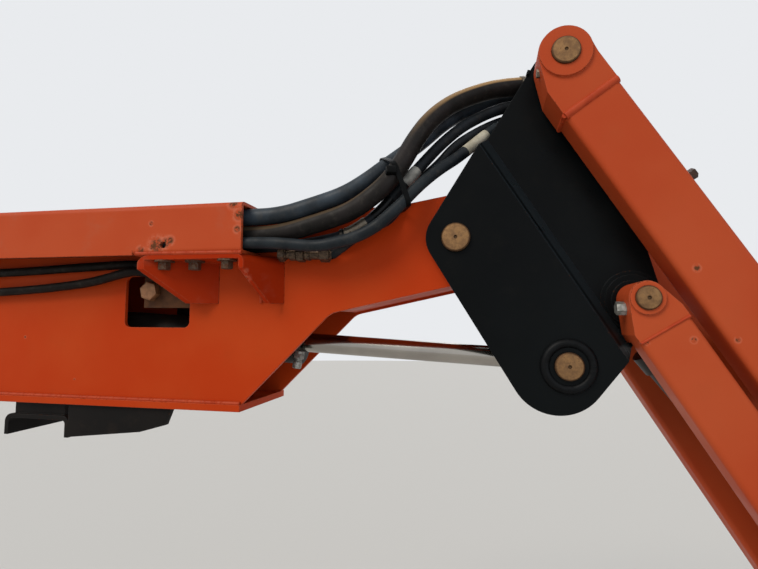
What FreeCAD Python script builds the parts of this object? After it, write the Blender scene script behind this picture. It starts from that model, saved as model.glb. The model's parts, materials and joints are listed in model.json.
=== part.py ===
import FreeCAD, Part
import math
import os

# The jib knuckle of an articulating boom lift, in millimetres.
# It is the end of the main boom, the black knuckle bracket that the levelling
# cylinder keeps upright, and the parallel jib with its lift cylinder, out to
# the bracket that carries the work platform.
# +X runs along the boom towards the jib and +Z is square to it, upwards.
# Y is across: "right" pieces are at -Y and "left" pieces at +Y.
# The origin is the centre of the boom section's rear face.

# Boom section and its nose
BOOM_WIDTH = 152.0
BOOM_TOP = 145.0
BOOM_BOTTOM = -145.0
SIDE_PLATE = 6.0
COVER_PLATE = 8.0
COVER_RECESS = 4.0
BOTTOM_PLATE = 10.0
BOTTOM_LIP = 6.0
REAR_PLATE = 12.0
REAR_HOLE_RADIUS = 32.0
REAR_HOLE_Z = -80.0
PIVOT_X = 800.0
PIVOT_Z = 97.5
NOSE_RADIUS = 61.0
NOSE_TOP_BEND = 86.0
NOSE_BEND_BACK = 176.0
NOSE_BEND_DROP = 101.0
NOSE_BEND_RADIUS = 30.0
MOUTH_ANGLE = 45.0
NOSE_COVER_END = 12.0
BUSH_RADIUS = 33.0
SIDE_HOLE_BACK = 505.0
SIDE_HOLE_LENGTH = 110.0
SIDE_HOLE_DROP = 123.0
SIDE_HOLE_HEIGHT = 78.0
SIDE_HOLE_CORNER = 9.0

# Hose channel, its shelf and what hangs near it
CHANNEL_DEPTH = 58.0
CHANNEL_HEIGHT = 68.0
CHANNEL_WALL = 5.0
CHANNEL_START = 20.0
CHANNEL_END_BACK = 285.0
CHANNEL_RISE = 3.5
CHANNEL_BEND = 8.0
CHANNEL_LIP_LENGTH = 167.0
CHANNEL_END_PLATE = 8.0
CHANNEL_HOLE_BACK = 403.0
CHANNEL_HOLE_DROP = 7.0
CHANNEL_HOLE_RADIUS = 4.5
SHELF_THICKNESS = 7.0
SHELF_START_BACK = 443.0
SHELF_LENGTH = 162.0
SHELF_DROP = 67.0
SHELF_BEND = 12.0
EAR_PLATE = 6.0
EAR_EDGE = 13.0
LEFT_EAR_LEAN = 85.0
RIGHT_EAR_LEAN = 36.0
EAR_SLOPE_DEPTH = 37.0
CLAMP_BLOCK_BACK = 477.0
CLAMP_BLOCK_DROP = 93.0
CLAMP_BLOCK_LENGTH = 120.0
CLAMP_BLOCK_HEIGHT = 52.0
CLAMP_BLOCK_DEPTH = 34.0
CRADLE_BACK = 716.0
CRADLE_LENGTH = 119.0
CRADLE_PLATE = 7.0
CRADLE_BEND = 13.0
CRADLE_HEIGHT = 33.0
CRADLE_SPACER = 19.0
REST_SIDE_LENGTH = 178.0
REST_SIDE_HEIGHT = 51.0
REST_SIDE_PLATE = 8.0
REST_SIDE_SLOPE = 52.0
REST_SIDE_RISE = 14.0
REST_SIDE_TIP = 25.0
REST_SIDE_LEAN = 10.0
REST_FAR_LENGTH = 60.0
REST_SIDE_LAP = 1.0

# Pins and their fits
PIN_RADIUS = 19.05
ARM_PIN_RADIUS = 17.5
LINK_PIN_RADIUS = 14.3
PIN_FIT = 0.05
PIN_PROUD = 3.0
SIDE_GAP = 2.0
LANE_GAP = 1.5

# Knuckle bracket
KNUCKLE_PLATE = 10.0
KNUCKLE_WIDE_GAP = 2.0
KNUCKLE_NARROW_OUTER = 50.0
KNUCKLE_JOGGLE = 20.0
MAIN_EAR_RADIUS = 40.0
JIB_EAR_RADIUS = 38.0
JIB_PIN_FROM_PIVOT = (138.4, 225.4)
LINK_PIN_FROM_PIVOT = (223.0, -82.3)
CYLINDER_PIN_FROM_PIVOT = (138.6, -166.1)
LOBE_FROM_PIVOT = (125.5, -167.5)
LOBE_RADIUS = 60.0
CORNER_FROM_PIVOT = (208.4, -159.3)
CREASE_TOP_FROM_PIVOT = (39.0, 112.5)
BOSS_WALL = 11.0
COLLAR_RADIUS = 28.5
COLLAR_PROUD = 3.5
WEB_THICKNESS = 10.0
WEB_BACK_FROM_CREASE = 2.0
WEB_FROM_CORNER = 20.0
WEB_SPAN_SHARE = 0.8
BULKHEAD_THICKNESS = 8.0
BULKHEAD_TO_PIN = 4.85
BULKHEAD_TOP_ABOVE_PIN = 22.6
BULKHEAD_HEIGHT = 88.0
LINK_BOSS_RINGS = [(38.0, 3.0), (33.0, 6.0)]

# Levelling cylinder
LEVEL_PIN_FROM_PIVOT = (-680.0, -121.0)
LEVEL_BARREL_RADIUS = 30.0
LEVEL_BORE_RADIUS = 24.0
LEVEL_ROD_RADIUS = 14.7
LEVEL_GLAND_AT = 408.0
LEVEL_GLAND_LENGTH = 30.0
LEVEL_GLAND_RADIUS = 34.0
LEVEL_EYE_RADIUS = 30.0
LEVEL_EYE_HALF = 20.0
LEVEL_CHROME_END = 784.0
LEVEL_SLEEVE_RADIUS = 17.5
LEVEL_PISTON_TO_GLAND = 50.0
LEVEL_BARREL_BASE = 20.0
PISTON_LENGTH = 20.0
EYE_SINK = 6.0
PORT_RADIUS = 10.0
PORT_HEIGHT = 12.0
PORT_FROM_END = 34.0
PORT_FOOT_SHARE = 0.8

# Jib arms and links
JIB_ANGLE = -58.2
JIB_LENGTH = 1219.0
ARM_OUTER = 117.0
ARM_WIDTH = 50.0
ARM_HEIGHT = 76.2
ARM_BELOW_PIN = 45.5
ARM_WALL = 5.0
TUBE_CORNER = 7.0
EAR_WIDTH = 57.0
ARM_EAR = (33.0, 68.0, 31.0, 23.0)
LINK_WIDTH = 45.0
LINK_HEIGHT = 63.5
LINK_BELOW_PIN = 36.0
LINK_EAR = (20.4, 41.0, 30.0, 26.0)
RING_PROUD = 3.5
ARM_RING_WALL = 14.5
LINK_RING_WALL = 5.2
CROSS_PLATE = 8.0
ARM_CROSS_FROM = 420.0
ARM_CROSS_LENGTH = 110.0
LINK_CROSS_FROM = 480.0

# Jib lift cylinder
BARREL_PIN_FROM_OUTER = 159.0
BARREL_PIN_BELOW = 8.0
JIB_BARREL_RADIUS = 35.0
JIB_BORE_RADIUS = 29.0
JIB_ROD_RADIUS = 19.0
JIB_ROD_SHOWING = 98.4
JIB_GLAND_LENGTH = 26.0
JIB_EYE_RADIUS = 30.0
JIB_EYE_HALF = 20.0
JIB_BARREL_BASE = 12.0
JIB_PISTON_FROM_EYE = 20.0
JIB_ROD_SEAT = 4.0
JIB_GLAND_PROUD = 3.0

# Platform bracket
FACE_PLATE = 15.0
FACE_REACH = 95.0
FACE_HEIGHT = 330.0
FACE_WIDTH = 180.0
FACE_HOLE_RADIUS = 8.75
FACE_HOLE_MARGIN_Y = 30.0
FACE_HOLE_MARGIN_Z = 35.0
FACE_WEB_REACH = 60.0
FACE_WEB_PLATE = 10.0

# Hoses. Each name has its diameter, then its route's points from the main pivot.
# The first four come along the channel, and all five end on the bulkhead.
HOSE_ROUTES = {
    "hose_1": (26.0, [(-768, -102.5, 8), (-650, -102, 8.5), (-520, -102.5, 8), (-395, -102, 8.5),
                      (-300, -102.8, 7.8), (-243, -103.5, 8), (-182, -106, 23), (-141.4, -108, 34.5),
                      (-112.5, -108, 52.8), (-88.1, -104, 74.9), (-70.5, -95.5, 104),
                      (-55, -84, 137.7), (-34.6, -68, 172.4), (-4.8, -51, 200.5), (30.3, -36, 218.3),
                      (66, -23, 230), (97, -14, 233)]),
    "hose_2": (24.0, [(-768, -106.5, 33.3), (-650, -107, 33.7), (-520, -106.5, 33.3),
                      (-395, -107, 33.7), (-300, -106.5, 33.5), (-243, -104, 34), (-193.6, -101, 48),
                      (-150.7, -96, 62.1), (-118.7, -88, 83.8), (-95.5, -77, 105), (-70.6, -64, 127.1),
                      (-46.6, -49, 150.6), (-19.1, -32, 181.3), (11, -14.5, 203.5), (41, 1, 217),
                      (69, 10, 224.5), (97, 16, 228.5)]),
    "hose_3": (16.0, [(-768, -120.5, -4), (-660, -121, -4.5), (-550, -120.5, -4), (-445, -121, -4.5),
                      (-355, -120.5, -4), (-285, -120.5, -4.8), (-238, -120, -6),
                      (-186.2, -119.5, -12.7), (-155.8, -119, -7.7), (-127.4, -118, -0.6),
                      (-101.4, -116, 13.1), (-84.2, -113, 29.1), (-71.7, -108.5, 45.9),
                      (-59.4, -101, 64.1), (-44.5, -91.5, 83.1), (-24, -79, 101.2), (-0.3, -64, 117.7),
                      (26, -45.5, 141), (50, -29.5, 165), (74, -20, 177), (97, -15, 184.5)]),
    "hose_4": (16.0, [(-768, -85, -6.5), (-660, -84.7, -7), (-550, -85, -6.5), (-445, -84.7, -7),
                      (-355, -85, -6.5), (-285, -85, -6), (-235, -87, -6), (-189.5, -89.5, -1.4),
                      (-151, -92.5, 5.5), (-121.4, -92.5, 21.2), (-98.3, -89.5, 41.1),
                      (-81.8, -81, 64.1), (-66.5, -71.5, 85.7), (-49.5, -61.5, 111.4),
                      (-26.4, -50.5, 139.1), (3, -39, 166.4), (28, -29.5, 183.5), (52, -22, 196),
                      (75, -16, 203.5), (97, -12, 207.5)]),
    "hose_5": (13.0, [(-168, -94, -24.5), (-147, -94.8, -20), (-126.5, -96.5, -9.5), (-108, -97.5, 6),
                      (-92, -96.5, 25.5), (-77, -92, 48), (-63.2, -84.5, 70), (-47.8, -75.5, 92.1),
                      (-28.2, -62.5, 116.3), (-5.2, -48, 139.3), (19, -33, 157.5), (45, -18, 175.5),
                      (72, -4, 189.5), (97, 8, 196)]),
}
# Two thinner hoses along the boom's side, which end in elbows on the clamp block
SIDE_HOSE_ROUTES = {
    "side_hose_1": (11.5, [(-766, -85, -38.5), (-690, -85.6, -36.5), (-600, -85, -32), (-520, -85.4, -28.5),
                           (-478, -86, -29.5), (-451, -86.2, -36.5), (-430, -86, -45.5), (-413, -86, -54)]),
    "side_hose_2": (11.5, [(-766, -85, -67.5), (-690, -85.6, -61.5), (-600, -85, -54), (-528, -85.4, -47.5),
                           (-490, -86, -46.5), (-464, -86.2, -52), (-443, -86, -61)]),
}
END_GAP = 0.3
FERRULE_WALL = 0.5
ADAPTER_RADIUS = 9.5
ADAPTER_LENGTH = 56.0
ADAPTER_BALL = 11.0
ELBOW_RADIUS = 7.0
ELBOW_LENGTH = 9.0
ELBOW_BALL = 7.6
ELBOW_STUB = 5.5
END_CLAMP_START = 4.0
END_CLAMP_DEPTH = 19.0
END_CLAMP_MARGIN = 6.0
END_CLAMP_GAP = 0.6
TIE_AT = (-74.0, 82.0)
TIE_ANGLE = 34.0
TIE_WIDTH = 7.0
TIE_STRAP = 1.6
TIE_GAP = 3.4
TIE_HEAD = (12.0, 11.0, 7.0)
TIE_HEAD_LIFT = 0.2
TIE_SHEET = 400.0
TIE_ROUND = ["hose_2", "hose_1", "hose_3", "hose_5", "hose_4"]


def vec(x, y, z):
    return FreeCAD.Vector(x, y, z)


def from_pivot(offset):
    """A place given from the main pivot, as x and z in the row frame."""
    return (PIVOT_X + offset[0], PIVOT_Z + offset[1])


def tangent(a, b):
    """Where the line along two discs (x, z, r), kept on their right side, touches each."""
    dx = b[0] - a[0]
    dz = b[1] - a[1]
    span = math.hypot(dx, dz)
    along = (a[2] - b[2]) / span
    across = math.sqrt(1.0 - along * along)
    nx = (along * dx + across * dz) / span
    nz = (along * dz - across * dx) / span
    return (a[0] + a[2] * nx, a[1] + a[2] * nz), (b[0] + b[2] * nx, b[1] + b[2] * nz)


def outline(discs):
    """A closed wire in the XZ plane round discs (x, z, r) in anticlockwise order.

    A radius of 0 is a sharp corner, and a negative one a hollow corner.
    """
    count = len(discs)
    runs = [tangent(discs[i], discs[(i + 1) % count]) for i in range(count)]
    edges = []
    for i, (start, end) in enumerate(runs):
        edges.append(Part.makeLine(vec(start[0], 0, start[1]), vec(end[0], 0, end[1])))
        cx, cz, r = discs[(i + 1) % count]
        if r == 0:
            continue
        leave = runs[(i + 1) % count][0]
        a0 = math.atan2(end[1] - cz, end[0] - cx)
        a1 = math.atan2(leave[1] - cz, leave[0] - cx)
        way = math.copysign(1.0, r)
        if (a1 - a0) * way < 0:
            a1 += way * 2 * math.pi
        mid = (a0 + a1) / 2
        edges.append(Part.Arc(vec(end[0], 0, end[1]),
                              vec(cx + abs(r) * math.cos(mid), 0, cz + abs(r) * math.sin(mid)),
                              vec(leave[0], 0, leave[1])).toShape())
    return Part.Wire(edges)


def soft(before, corner, after, radius):
    """The disc that rounds a corner of an outline, with a negative radius where it is hollow."""
    ux, uz = corner[0] - before[0], corner[1] - before[1]
    wx, wz = after[0] - corner[0], after[1] - corner[1]
    u, w = math.hypot(ux, uz), math.hypot(wx, wz)
    bx, bz = wx / w - ux / u, wz / w - uz / u
    b = math.hypot(bx, bz)
    reach = radius / math.sqrt(1.0 - b * b / 4)
    return (corner[0] + reach * bx / b, corner[1] + reach * bz / b,
            math.copysign(radius, ux * wz - uz * wx))


def section_x(wire, x0, x1):
    """A bar along X, whose section is drawn in the XZ plane with Y in place of X."""
    face = Part.Face(wire)
    face.rotate(vec(0, 0, 0), vec(0, 0, 1), 90)
    face.translate(vec(x0, 0, 0))
    return face.extrude(vec(x1 - x0, 0, 0))


def plate(wire, y0, y1):
    """A flat plate with that outline, between two values of Y."""
    face = Part.Face(wire)
    face.translate(vec(0, y0, 0))
    return face.extrude(vec(0, y1 - y0, 0))


def pin(at, radius, y0, y1):
    """A round bar across, with its axis along Y."""
    return Part.makeCylinder(radius, y1 - y0, vec(at[0], y0, at[1]), vec(0, 1, 0))


def block(x0, x1, y0, y1, z0, z1):
    return Part.makeBox(x1 - x0, y1 - y0, z1 - z0, vec(x0, y0, z0))


def mirrored(shape):
    """The same piece on the other side of the boom."""
    return shape.mirror(vec(0, 0, 0), vec(0, 1, 0))


def turned(shape, at, angle):
    """A piece drawn along +X from the origin, turned up by that angle and moved to its place."""
    copy = shape.copy()
    copy.rotate(vec(0, 0, 0), vec(0, -1, 0), angle)
    copy.translate(vec(at[0], 0, at[1]))
    return copy


def rounded_bar(x0, x1, y0, y1, z0, z1, corner):
    """A bar along X with a rounded rectangular section."""
    ya, yb, za, zb = y0 + corner, y1 - corner, z0 + corner, z1 - corner
    bend = corner * math.sqrt(0.5)
    sides = [((ya, z0), (yb, z0)), ((y1, za), (y1, zb)), ((yb, z1), (ya, z1)), ((y0, zb), (y0, za))]
    mids = [(yb + bend, za - bend), (yb + bend, zb + bend), (ya - bend, zb + bend), (ya - bend, za - bend)]
    edges = []
    for i, (start, end) in enumerate(sides):
        after = sides[(i + 1) % 4][0]
        edges.append(Part.makeLine(vec(x0, *start), vec(x0, *end)))
        edges.append(Part.Arc(vec(x0, *end), vec(x0, *mids[i]), vec(x0, *after)).toShape())
    return Part.Face(Part.Wire(edges)).extrude(vec(x1 - x0, 0, 0))


def tube(x0, x1, y0, y1, z0, z1, wall):
    """A square tube along X, open at both ends."""
    inner = rounded_bar(x0 - 1, x1 + 1, y0 + wall, y1 - wall, z0 + wall, z1 - wall, TUBE_CORNER - wall + 1)
    return rounded_bar(x0, x1, y0, y1, z0, z1, TUBE_CORNER).cut(inner)


def rod_x(radius, x0, x1):
    return Part.makeCylinder(radius, x1 - x0, vec(x0, 0, 0), vec(1, 0, 0))


def save(name, shape):
    """One STEP file per node, of its solids."""
    solids = shape.Solids
    out = solids[0] if len(solids) == 1 else Part.makeCompound(solids)
    for solid in solids:
        if not solid.isValid():
            print("not valid:", name)
    out.exportStep("parts/" + name + ".step")
    print(f"{name}: {len(solids)} solids, {sum(s.Volume for s in solids) / 1000:.0f} cm3")


def join(*shapes):
    """Pieces welded into one solid."""
    whole = shapes[0]
    for shape in shapes[1:]:
        whole = whole.fuse(shape)
    return whole.removeSplitter()


PIVOT = (PIVOT_X, PIVOT_Z)
JIB_PIN = from_pivot(JIB_PIN_FROM_PIVOT)
LINK_PIN = from_pivot(LINK_PIN_FROM_PIVOT)
CYLINDER_PIN = from_pivot(CYLINDER_PIN_FROM_PIVOT)
LEVEL_PIN = from_pivot(LEVEL_PIN_FROM_PIVOT)
LOBE = from_pivot(LOBE_FROM_PIVOT)
CORNER = from_pivot(CORNER_FROM_PIVOT)
CREASE_TOP = from_pivot(CREASE_TOP_FROM_PIVOT)
JIB_ALONG = (math.cos(math.radians(JIB_ANGLE)), math.sin(math.radians(JIB_ANGLE)))
HALF_BOOM = BOOM_WIDTH / 2
INNER = HALF_BOOM - SIDE_PLATE
WIDE_INNER = HALF_BOOM + KNUCKLE_WIDE_GAP
WIDE_OUTER = WIDE_INNER + KNUCKLE_PLATE
NARROW_INNER = KNUCKLE_NARROW_OUTER - KNUCKLE_PLATE
BORE_RADIUS = PIN_RADIUS + PIN_FIT
ARM_BORE_RADIUS = ARM_PIN_RADIUS + PIN_FIT
LINK_BORE_RADIUS = LINK_PIN_RADIUS + PIN_FIT
BOSS_OUTER = ARM_OUTER - EAR_WIDTH - SIDE_GAP
CHANNEL_OUT = -HALF_BOOM - CHANNEL_DEPTH
CHANNEL_TOP = BOOM_TOP + CHANNEL_RISE
BARREL_PIN_ALONG = JIB_LENGTH - BARREL_PIN_FROM_OUTER


def far_end(at):
    """The same pin at the other end of the jib."""
    return (at[0] + JIB_LENGTH * JIB_ALONG[0], at[1] + JIB_LENGTH * JIB_ALONG[1])


ARM_PIN_OUT = far_end(JIB_PIN)
LINK_PIN_OUT = far_end(LINK_PIN)


# Boom end: side plates with the nose, the slanted mouth and the hose window
def mouth_bottom():
    """Where the slanted mouth meets the bottom plate."""
    rise = (PIVOT_Z - NOSE_BEND_DROP) - (BOOM_BOTTOM + BOTTOM_PLATE)
    return PIVOT_X - NOSE_BEND_BACK - rise / math.tan(math.radians(MOUTH_ANGLE))


def boom_side():
    nose = PIVOT + (NOSE_RADIUS,)
    low = (mouth_bottom(), BOOM_BOTTOM + BOTTOM_PLATE)
    bend = (PIVOT_X - NOSE_BEND_BACK, PIVOT_Z - NOSE_BEND_DROP)
    after = tangent(bend + (0,), nose)[1]
    discs = [(0, BOOM_BOTTOM + BOTTOM_PLATE, 0), low + (0,), soft(low, bend, after, NOSE_BEND_RADIUS), nose,
             (PIVOT_X - NOSE_TOP_BEND, BOOM_TOP, 0), (0, BOOM_TOP, 0)]
    x0 = PIVOT_X - SIDE_HOLE_BACK + SIDE_HOLE_CORNER
    x1 = PIVOT_X - SIDE_HOLE_BACK + SIDE_HOLE_LENGTH - SIDE_HOLE_CORNER
    z0 = PIVOT_Z - SIDE_HOLE_DROP + SIDE_HOLE_CORNER
    z1 = PIVOT_Z - SIDE_HOLE_DROP + SIDE_HOLE_HEIGHT - SIDE_HOLE_CORNER
    window = outline([(x, z, SIDE_HOLE_CORNER) for x, z in ((x0, z0), (x1, z0), (x1, z1), (x0, z1))])
    side = plate(outline(discs), -HALF_BOOM, -INNER)
    side = side.cut(plate(window, -HALF_BOOM - 1, -INNER + 1))
    return side.cut(pin(PIVOT, BUSH_RADIUS, -HALF_BOOM - 1, -INNER + 1))


def cover(line, below):
    """A cover plate between the side plates that follows points (x, z), its thickness below them."""
    drop = -COVER_PLATE if below else COVER_PLATE
    points = line + [(x, z + drop) for x, z in reversed(line)]
    points = [vec(x, 0, z) for x, z in points + points[:1]]
    return plate(Part.makePolygon(points), -INNER, INNER)


def boom_covers():
    top_bend = (PIVOT_X - NOSE_TOP_BEND, BOOM_TOP - COVER_RECESS)
    top_touch = tangent((PIVOT_X, PIVOT_Z, NOSE_RADIUS - COVER_RECESS), top_bend + (0,))[0]
    save("boom_top_plate", cover([(REAR_PLATE, BOOM_TOP - COVER_RECESS), top_bend,
                                  (top_touch[0], top_touch[1])], True))
    low_bend = (PIVOT_X - NOSE_BEND_BACK, PIVOT_Z - NOSE_BEND_DROP + COVER_RECESS)
    low_touch = tangent(low_bend + (0,), (PIVOT_X, PIVOT_Z, NOSE_RADIUS - COVER_RECESS))[1]
    save("nose_bottom_plate", cover([low_bend, (low_touch[0] - NOSE_COVER_END, low_touch[1]
                                     - NOSE_COVER_END * (low_touch[1] - low_bend[1])
                                     / (low_touch[0] - low_bend[0]))], False))


def boom():
    side = boom_side()
    save("boom_side_right", side)
    save("boom_side_left", mirrored(side))
    boom_covers()
    lip = HALF_BOOM + BOTTOM_LIP
    save("boom_bottom_plate", block(0, mouth_bottom(), -lip, lip, BOOM_BOTTOM, BOOM_BOTTOM + BOTTOM_PLATE))
    rear = block(0, REAR_PLATE, -INNER, INNER, BOOM_BOTTOM + BOTTOM_PLATE, BOOM_TOP - COVER_RECESS)
    hole = Part.makeCylinder(REAR_HOLE_RADIUS, REAR_PLATE + 2, vec(-1, 0, REAR_HOLE_Z), vec(1, 0, 0))
    save("boom_rear_plate", rear.cut(hole))
    bush = pin(PIVOT, BUSH_RADIUS, -HALF_BOOM, HALF_BOOM)
    save("nose_bushing", bush.cut(pin(PIVOT, BORE_RADIUS, -HALF_BOOM - 1, HALF_BOOM + 1)))


# Hose channel on the near side, and the shelf that it is bolted to
def channel():
    """A folded channel, open underneath but for the lip over the shelf, and its end plate."""
    top = CHANNEL_TOP
    low = top - CHANNEL_RISE - CHANNEL_HEIGHT
    wall, bend = CHANNEL_WALL, CHANNEL_BEND
    y_bend = CHANNEL_OUT + bend
    upper = [(-HALF_BOOM, top, 0), (y_bend, top - bend, bend)]
    upper_back = [(y_bend, top - bend, wall - bend), (-HALF_BOOM, top - wall, 0)]
    angle = outline(upper + [(CHANNEL_OUT, low, 0), (CHANNEL_OUT + wall, low, 0)] + upper_back)
    lip = outline(upper + [(y_bend, low + bend, bend), (-HALF_BOOM, low, 0), (-HALF_BOOM, low + wall, 0),
                           (y_bend, low + bend, wall - bend)] + upper_back)
    x1 = PIVOT_X - CHANNEL_END_BACK
    x_lip = x1 - CHANNEL_LIP_LENGTH
    shape = section_x(angle, CHANNEL_START, x_lip).fuse(section_x(lip, x_lip, x1))
    hole = (PIVOT_X - CHANNEL_HOLE_BACK, PIVOT_Z - CHANNEL_HOLE_DROP)
    shape = shape.cut(pin(hole, CHANNEL_HOLE_RADIUS, CHANNEL_OUT - 1, CHANNEL_OUT + wall + 1))
    save("hose_channel", shape.removeSplitter())
    end = outline([(y_bend, top - bend, bend - wall), (CHANNEL_OUT + wall, low, 0), (-HALF_BOOM, low, 0),
                   (-HALF_BOOM, top - wall, 0)])
    save("channel_end_plate", section_x(end, CHANNEL_START, CHANNEL_START + CHANNEL_END_PLATE))


def shelf():
    """A folded plate under the channel's lip, whose two ears lean outwards to the boom."""
    z1 = BOOM_TOP - CHANNEL_HEIGHT
    x0 = PIVOT_X - SHELF_START_BACK
    x1 = x0 + SHELF_LENGTH
    plan = [vec(x0, CHANNEL_OUT, z1), vec(x1, CHANNEL_OUT, z1),
            vec(x1 + RIGHT_EAR_LEAN, -HALF_BOOM, z1), vec(x0 + LEFT_EAR_LEAN, -HALF_BOOM, z1)]
    top = Part.Face(Part.makePolygon(plan + plan[:1])).extrude(vec(0, 0, -SHELF_THICKNESS))
    bracket = top.fuse(shelf_ear(x0, LEFT_EAR_LEAN, 1, z1)).fuse(shelf_ear(x1, RIGHT_EAR_LEAN, -1, z1))
    bracket = bracket.removeSplitter()
    for x, lean in ((x0, LEFT_EAR_LEAN), (x1, RIGHT_EAR_LEAN)):
        middle = vec(x + lean / 2, (CHANNEL_OUT - HALF_BOOM) / 2, z1)
        fold = [e for e in bracket.Edges if e.distToShape(Part.Vertex(middle))[0] < 0.01]
        bracket = bracket.makeFillet(SHELF_BEND, fold)
    save("channel_shelf", bracket)


def shelf_ear(x, lean, side, z1):
    """One ear, from its fold at the near edge to its foot on the boom's side plate."""
    depth = CHANNEL_DEPTH
    slope = EAR_SLOPE_DEPTH
    low = z1 - SHELF_DROP
    rows = [(0, z1), (0, z1 - SHELF_THICKNESS - EAR_EDGE), (slope, low), (depth, low), (depth, z1)]
    points = [vec(x + lean * d / depth, CHANNEL_OUT + d, z) for d, z in rows]
    face = Part.Face(Part.makePolygon(points + points[:1]))
    return face.extrude(vec(side * EAR_PLATE * math.hypot(lean, depth) / depth, 0, 0))


def clamp_block():
    """The block behind the window, bolted to the inside of the near side plate."""
    x0 = PIVOT_X - CLAMP_BLOCK_BACK
    z0 = PIVOT_Z - CLAMP_BLOCK_DROP
    save("hose_clamp_block", block(x0, x0 + CLAMP_BLOCK_LENGTH, -INNER, -INNER + CLAMP_BLOCK_DEPTH,
                                   z0, z0 + CLAMP_BLOCK_HEIGHT))


def saddle():
    """The black rest bracket under the boom: a cradle across it, a long side plate and a short one."""
    x0 = PIVOT_X - CRADLE_BACK
    x1 = x0 + CRADLE_LENGTH
    t, bend = CRADLE_PLATE, CRADLE_BEND
    top = BOOM_BOTTOM - CRADLE_SPACER
    low = top - CRADLE_HEIGHT
    cradle = outline([(x0, low, 0), (x0 + t, low, 0), (x0 + bend, top - bend, t - bend),
                      (x1 - bend, top - bend, t - bend), (x1 - t, low, 0), (x1, low, 0),
                      (x1 - bend, top - bend, bend), (x0 + bend, top - bend, bend)])
    shape = plate(cradle, -HALF_BOOM, HALF_BOOM)
    shape = shape.fuse(block(x0 + bend, x1 - bend, -INNER, INNER, top, BOOM_BOTTOM))
    end = x1 + REST_SIDE_LENGTH
    foot = BOOM_BOTTOM - REST_SIDE_HEIGHT
    start = x1 - REST_SIDE_LAP
    side = [(start, foot, 0), (end - REST_SIDE_SLOPE, foot + REST_SIDE_RISE, 0),
            (end - REST_SIDE_LEAN, BOOM_BOTTOM - REST_SIDE_TIP, 0), (end, BOOM_BOTTOM, 0),
            (start, BOOM_BOTTOM, 0)]
    near = plate(outline(side), -HALF_BOOM, -HALF_BOOM + REST_SIDE_PLATE)
    far = block(start, x1 + REST_FAR_LENGTH, HALF_BOOM - REST_SIDE_PLATE, HALF_BOOM, foot, BOOM_BOTTOM)
    shape = shape.fuse(near).fuse(far)
    save("boom_rest_bracket", shape.removeSplitter())


# Knuckle bracket: each side is one folded plate, cut to the bracket's outline
def crease_frame():
    """The crease's direction and its normal, which points to the jib side."""
    dx = CREASE_TOP[0] - CORNER[0]
    dz = CREASE_TOP[1] - CORNER[1]
    span = math.hypot(dx, dz)
    along = (dx / span, dz / span)
    return along, (along[1], -along[0])


def knuckle_outline():
    return outline([PIVOT + (MAIN_EAR_RADIUS,), LOBE + (LOBE_RADIUS,), CORNER + (0,),
                    LINK_PIN + (JIB_EAR_RADIUS,), JIB_PIN + (JIB_EAR_RADIUS,)])


def folded_sheet():
    """A joggled sheet: wide on the boom's side of the crease, narrow on the jib's side."""
    along, across = crease_frame()
    reach = 600.0
    t = KNUCKLE_PLATE
    slope = math.atan2(WIDE_OUTER - KNUCKLE_NARROW_OUTER, KNUCKLE_JOGGLE)
    shift = t * math.tan(slope / 2)
    section = [(-reach, -WIDE_OUTER), (0, -WIDE_OUTER), (KNUCKLE_JOGGLE, -KNUCKLE_NARROW_OUTER),
               (reach, -KNUCKLE_NARROW_OUTER), (reach, -NARROW_INNER),
               (KNUCKLE_JOGGLE - shift, -NARROW_INNER), (-shift, -WIDE_INNER), (-reach, -WIDE_INNER)]
    start = (CORNER[0] - reach * along[0], CORNER[1] - reach * along[1])
    points = [vec(start[0] + v * across[0], y, start[1] + v * across[1]) for v, y in section]
    face = Part.Face(Part.makePolygon(points + points[:1]))
    return face.extrude(vec(2 * reach * along[0], 0, 2 * reach * along[1]))


def knuckle_side():
    side = folded_sheet().common(plate(knuckle_outline(), -WIDE_OUTER - 1, 0))
    for at, bore, inner in ((JIB_PIN, ARM_BORE_RADIUS, NARROW_INNER),
                            (LINK_PIN, LINK_BORE_RADIUS, JIB_EYE_HALF + LANE_GAP)):
        side = side.fuse(pin(at, bore + BOSS_WALL, -BOSS_OUTER, -inner))
    for radius, proud in LINK_BOSS_RINGS:
        side = side.fuse(pin(LINK_PIN, radius, -KNUCKLE_NARROW_OUTER - proud, -KNUCKLE_NARROW_OUTER))
    inner = -LEVEL_EYE_HALF - LANE_GAP
    side = side.fuse(pin(CYLINDER_PIN, ARM_PIN_RADIUS + BOSS_WALL, -WIDE_INNER - 1, inner))
    side = side.fuse(pin(CYLINDER_PIN, COLLAR_RADIUS, -WIDE_OUTER - COLLAR_PROUD, -WIDE_INNER))
    for at, bore in ((PIVOT, BORE_RADIUS), (JIB_PIN, ARM_BORE_RADIUS), (LINK_PIN, LINK_BORE_RADIUS),
                     (CYLINDER_PIN, ARM_BORE_RADIUS)):
        side = side.cut(pin(at, bore, -ARM_OUTER, 0))
    return side.removeSplitter()


def knuckle_web():
    """The plate across the bracket, just on the boom's side of the crease."""
    along, across = crease_frame()
    span = math.hypot(CREASE_TOP[0] - CORNER[0], CREASE_TOP[1] - CORNER[1])
    v1 = -WEB_BACK_FROM_CREASE - KNUCKLE_PLATE
    v0 = v1 - WEB_THICKNESS
    u0, u1 = WEB_FROM_CORNER, span * WEB_SPAN_SHARE
    corners = [(u0, v0), (u1, v0), (u1, v1), (u0, v1)]
    points = [vec(CORNER[0] + u * along[0] + v * across[0], 0, CORNER[1] + u * along[1] + v * across[1])
              for u, v in corners]
    return plate(Part.makePolygon(points + points[:1]), -WIDE_INNER, WIDE_INNER)


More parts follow.
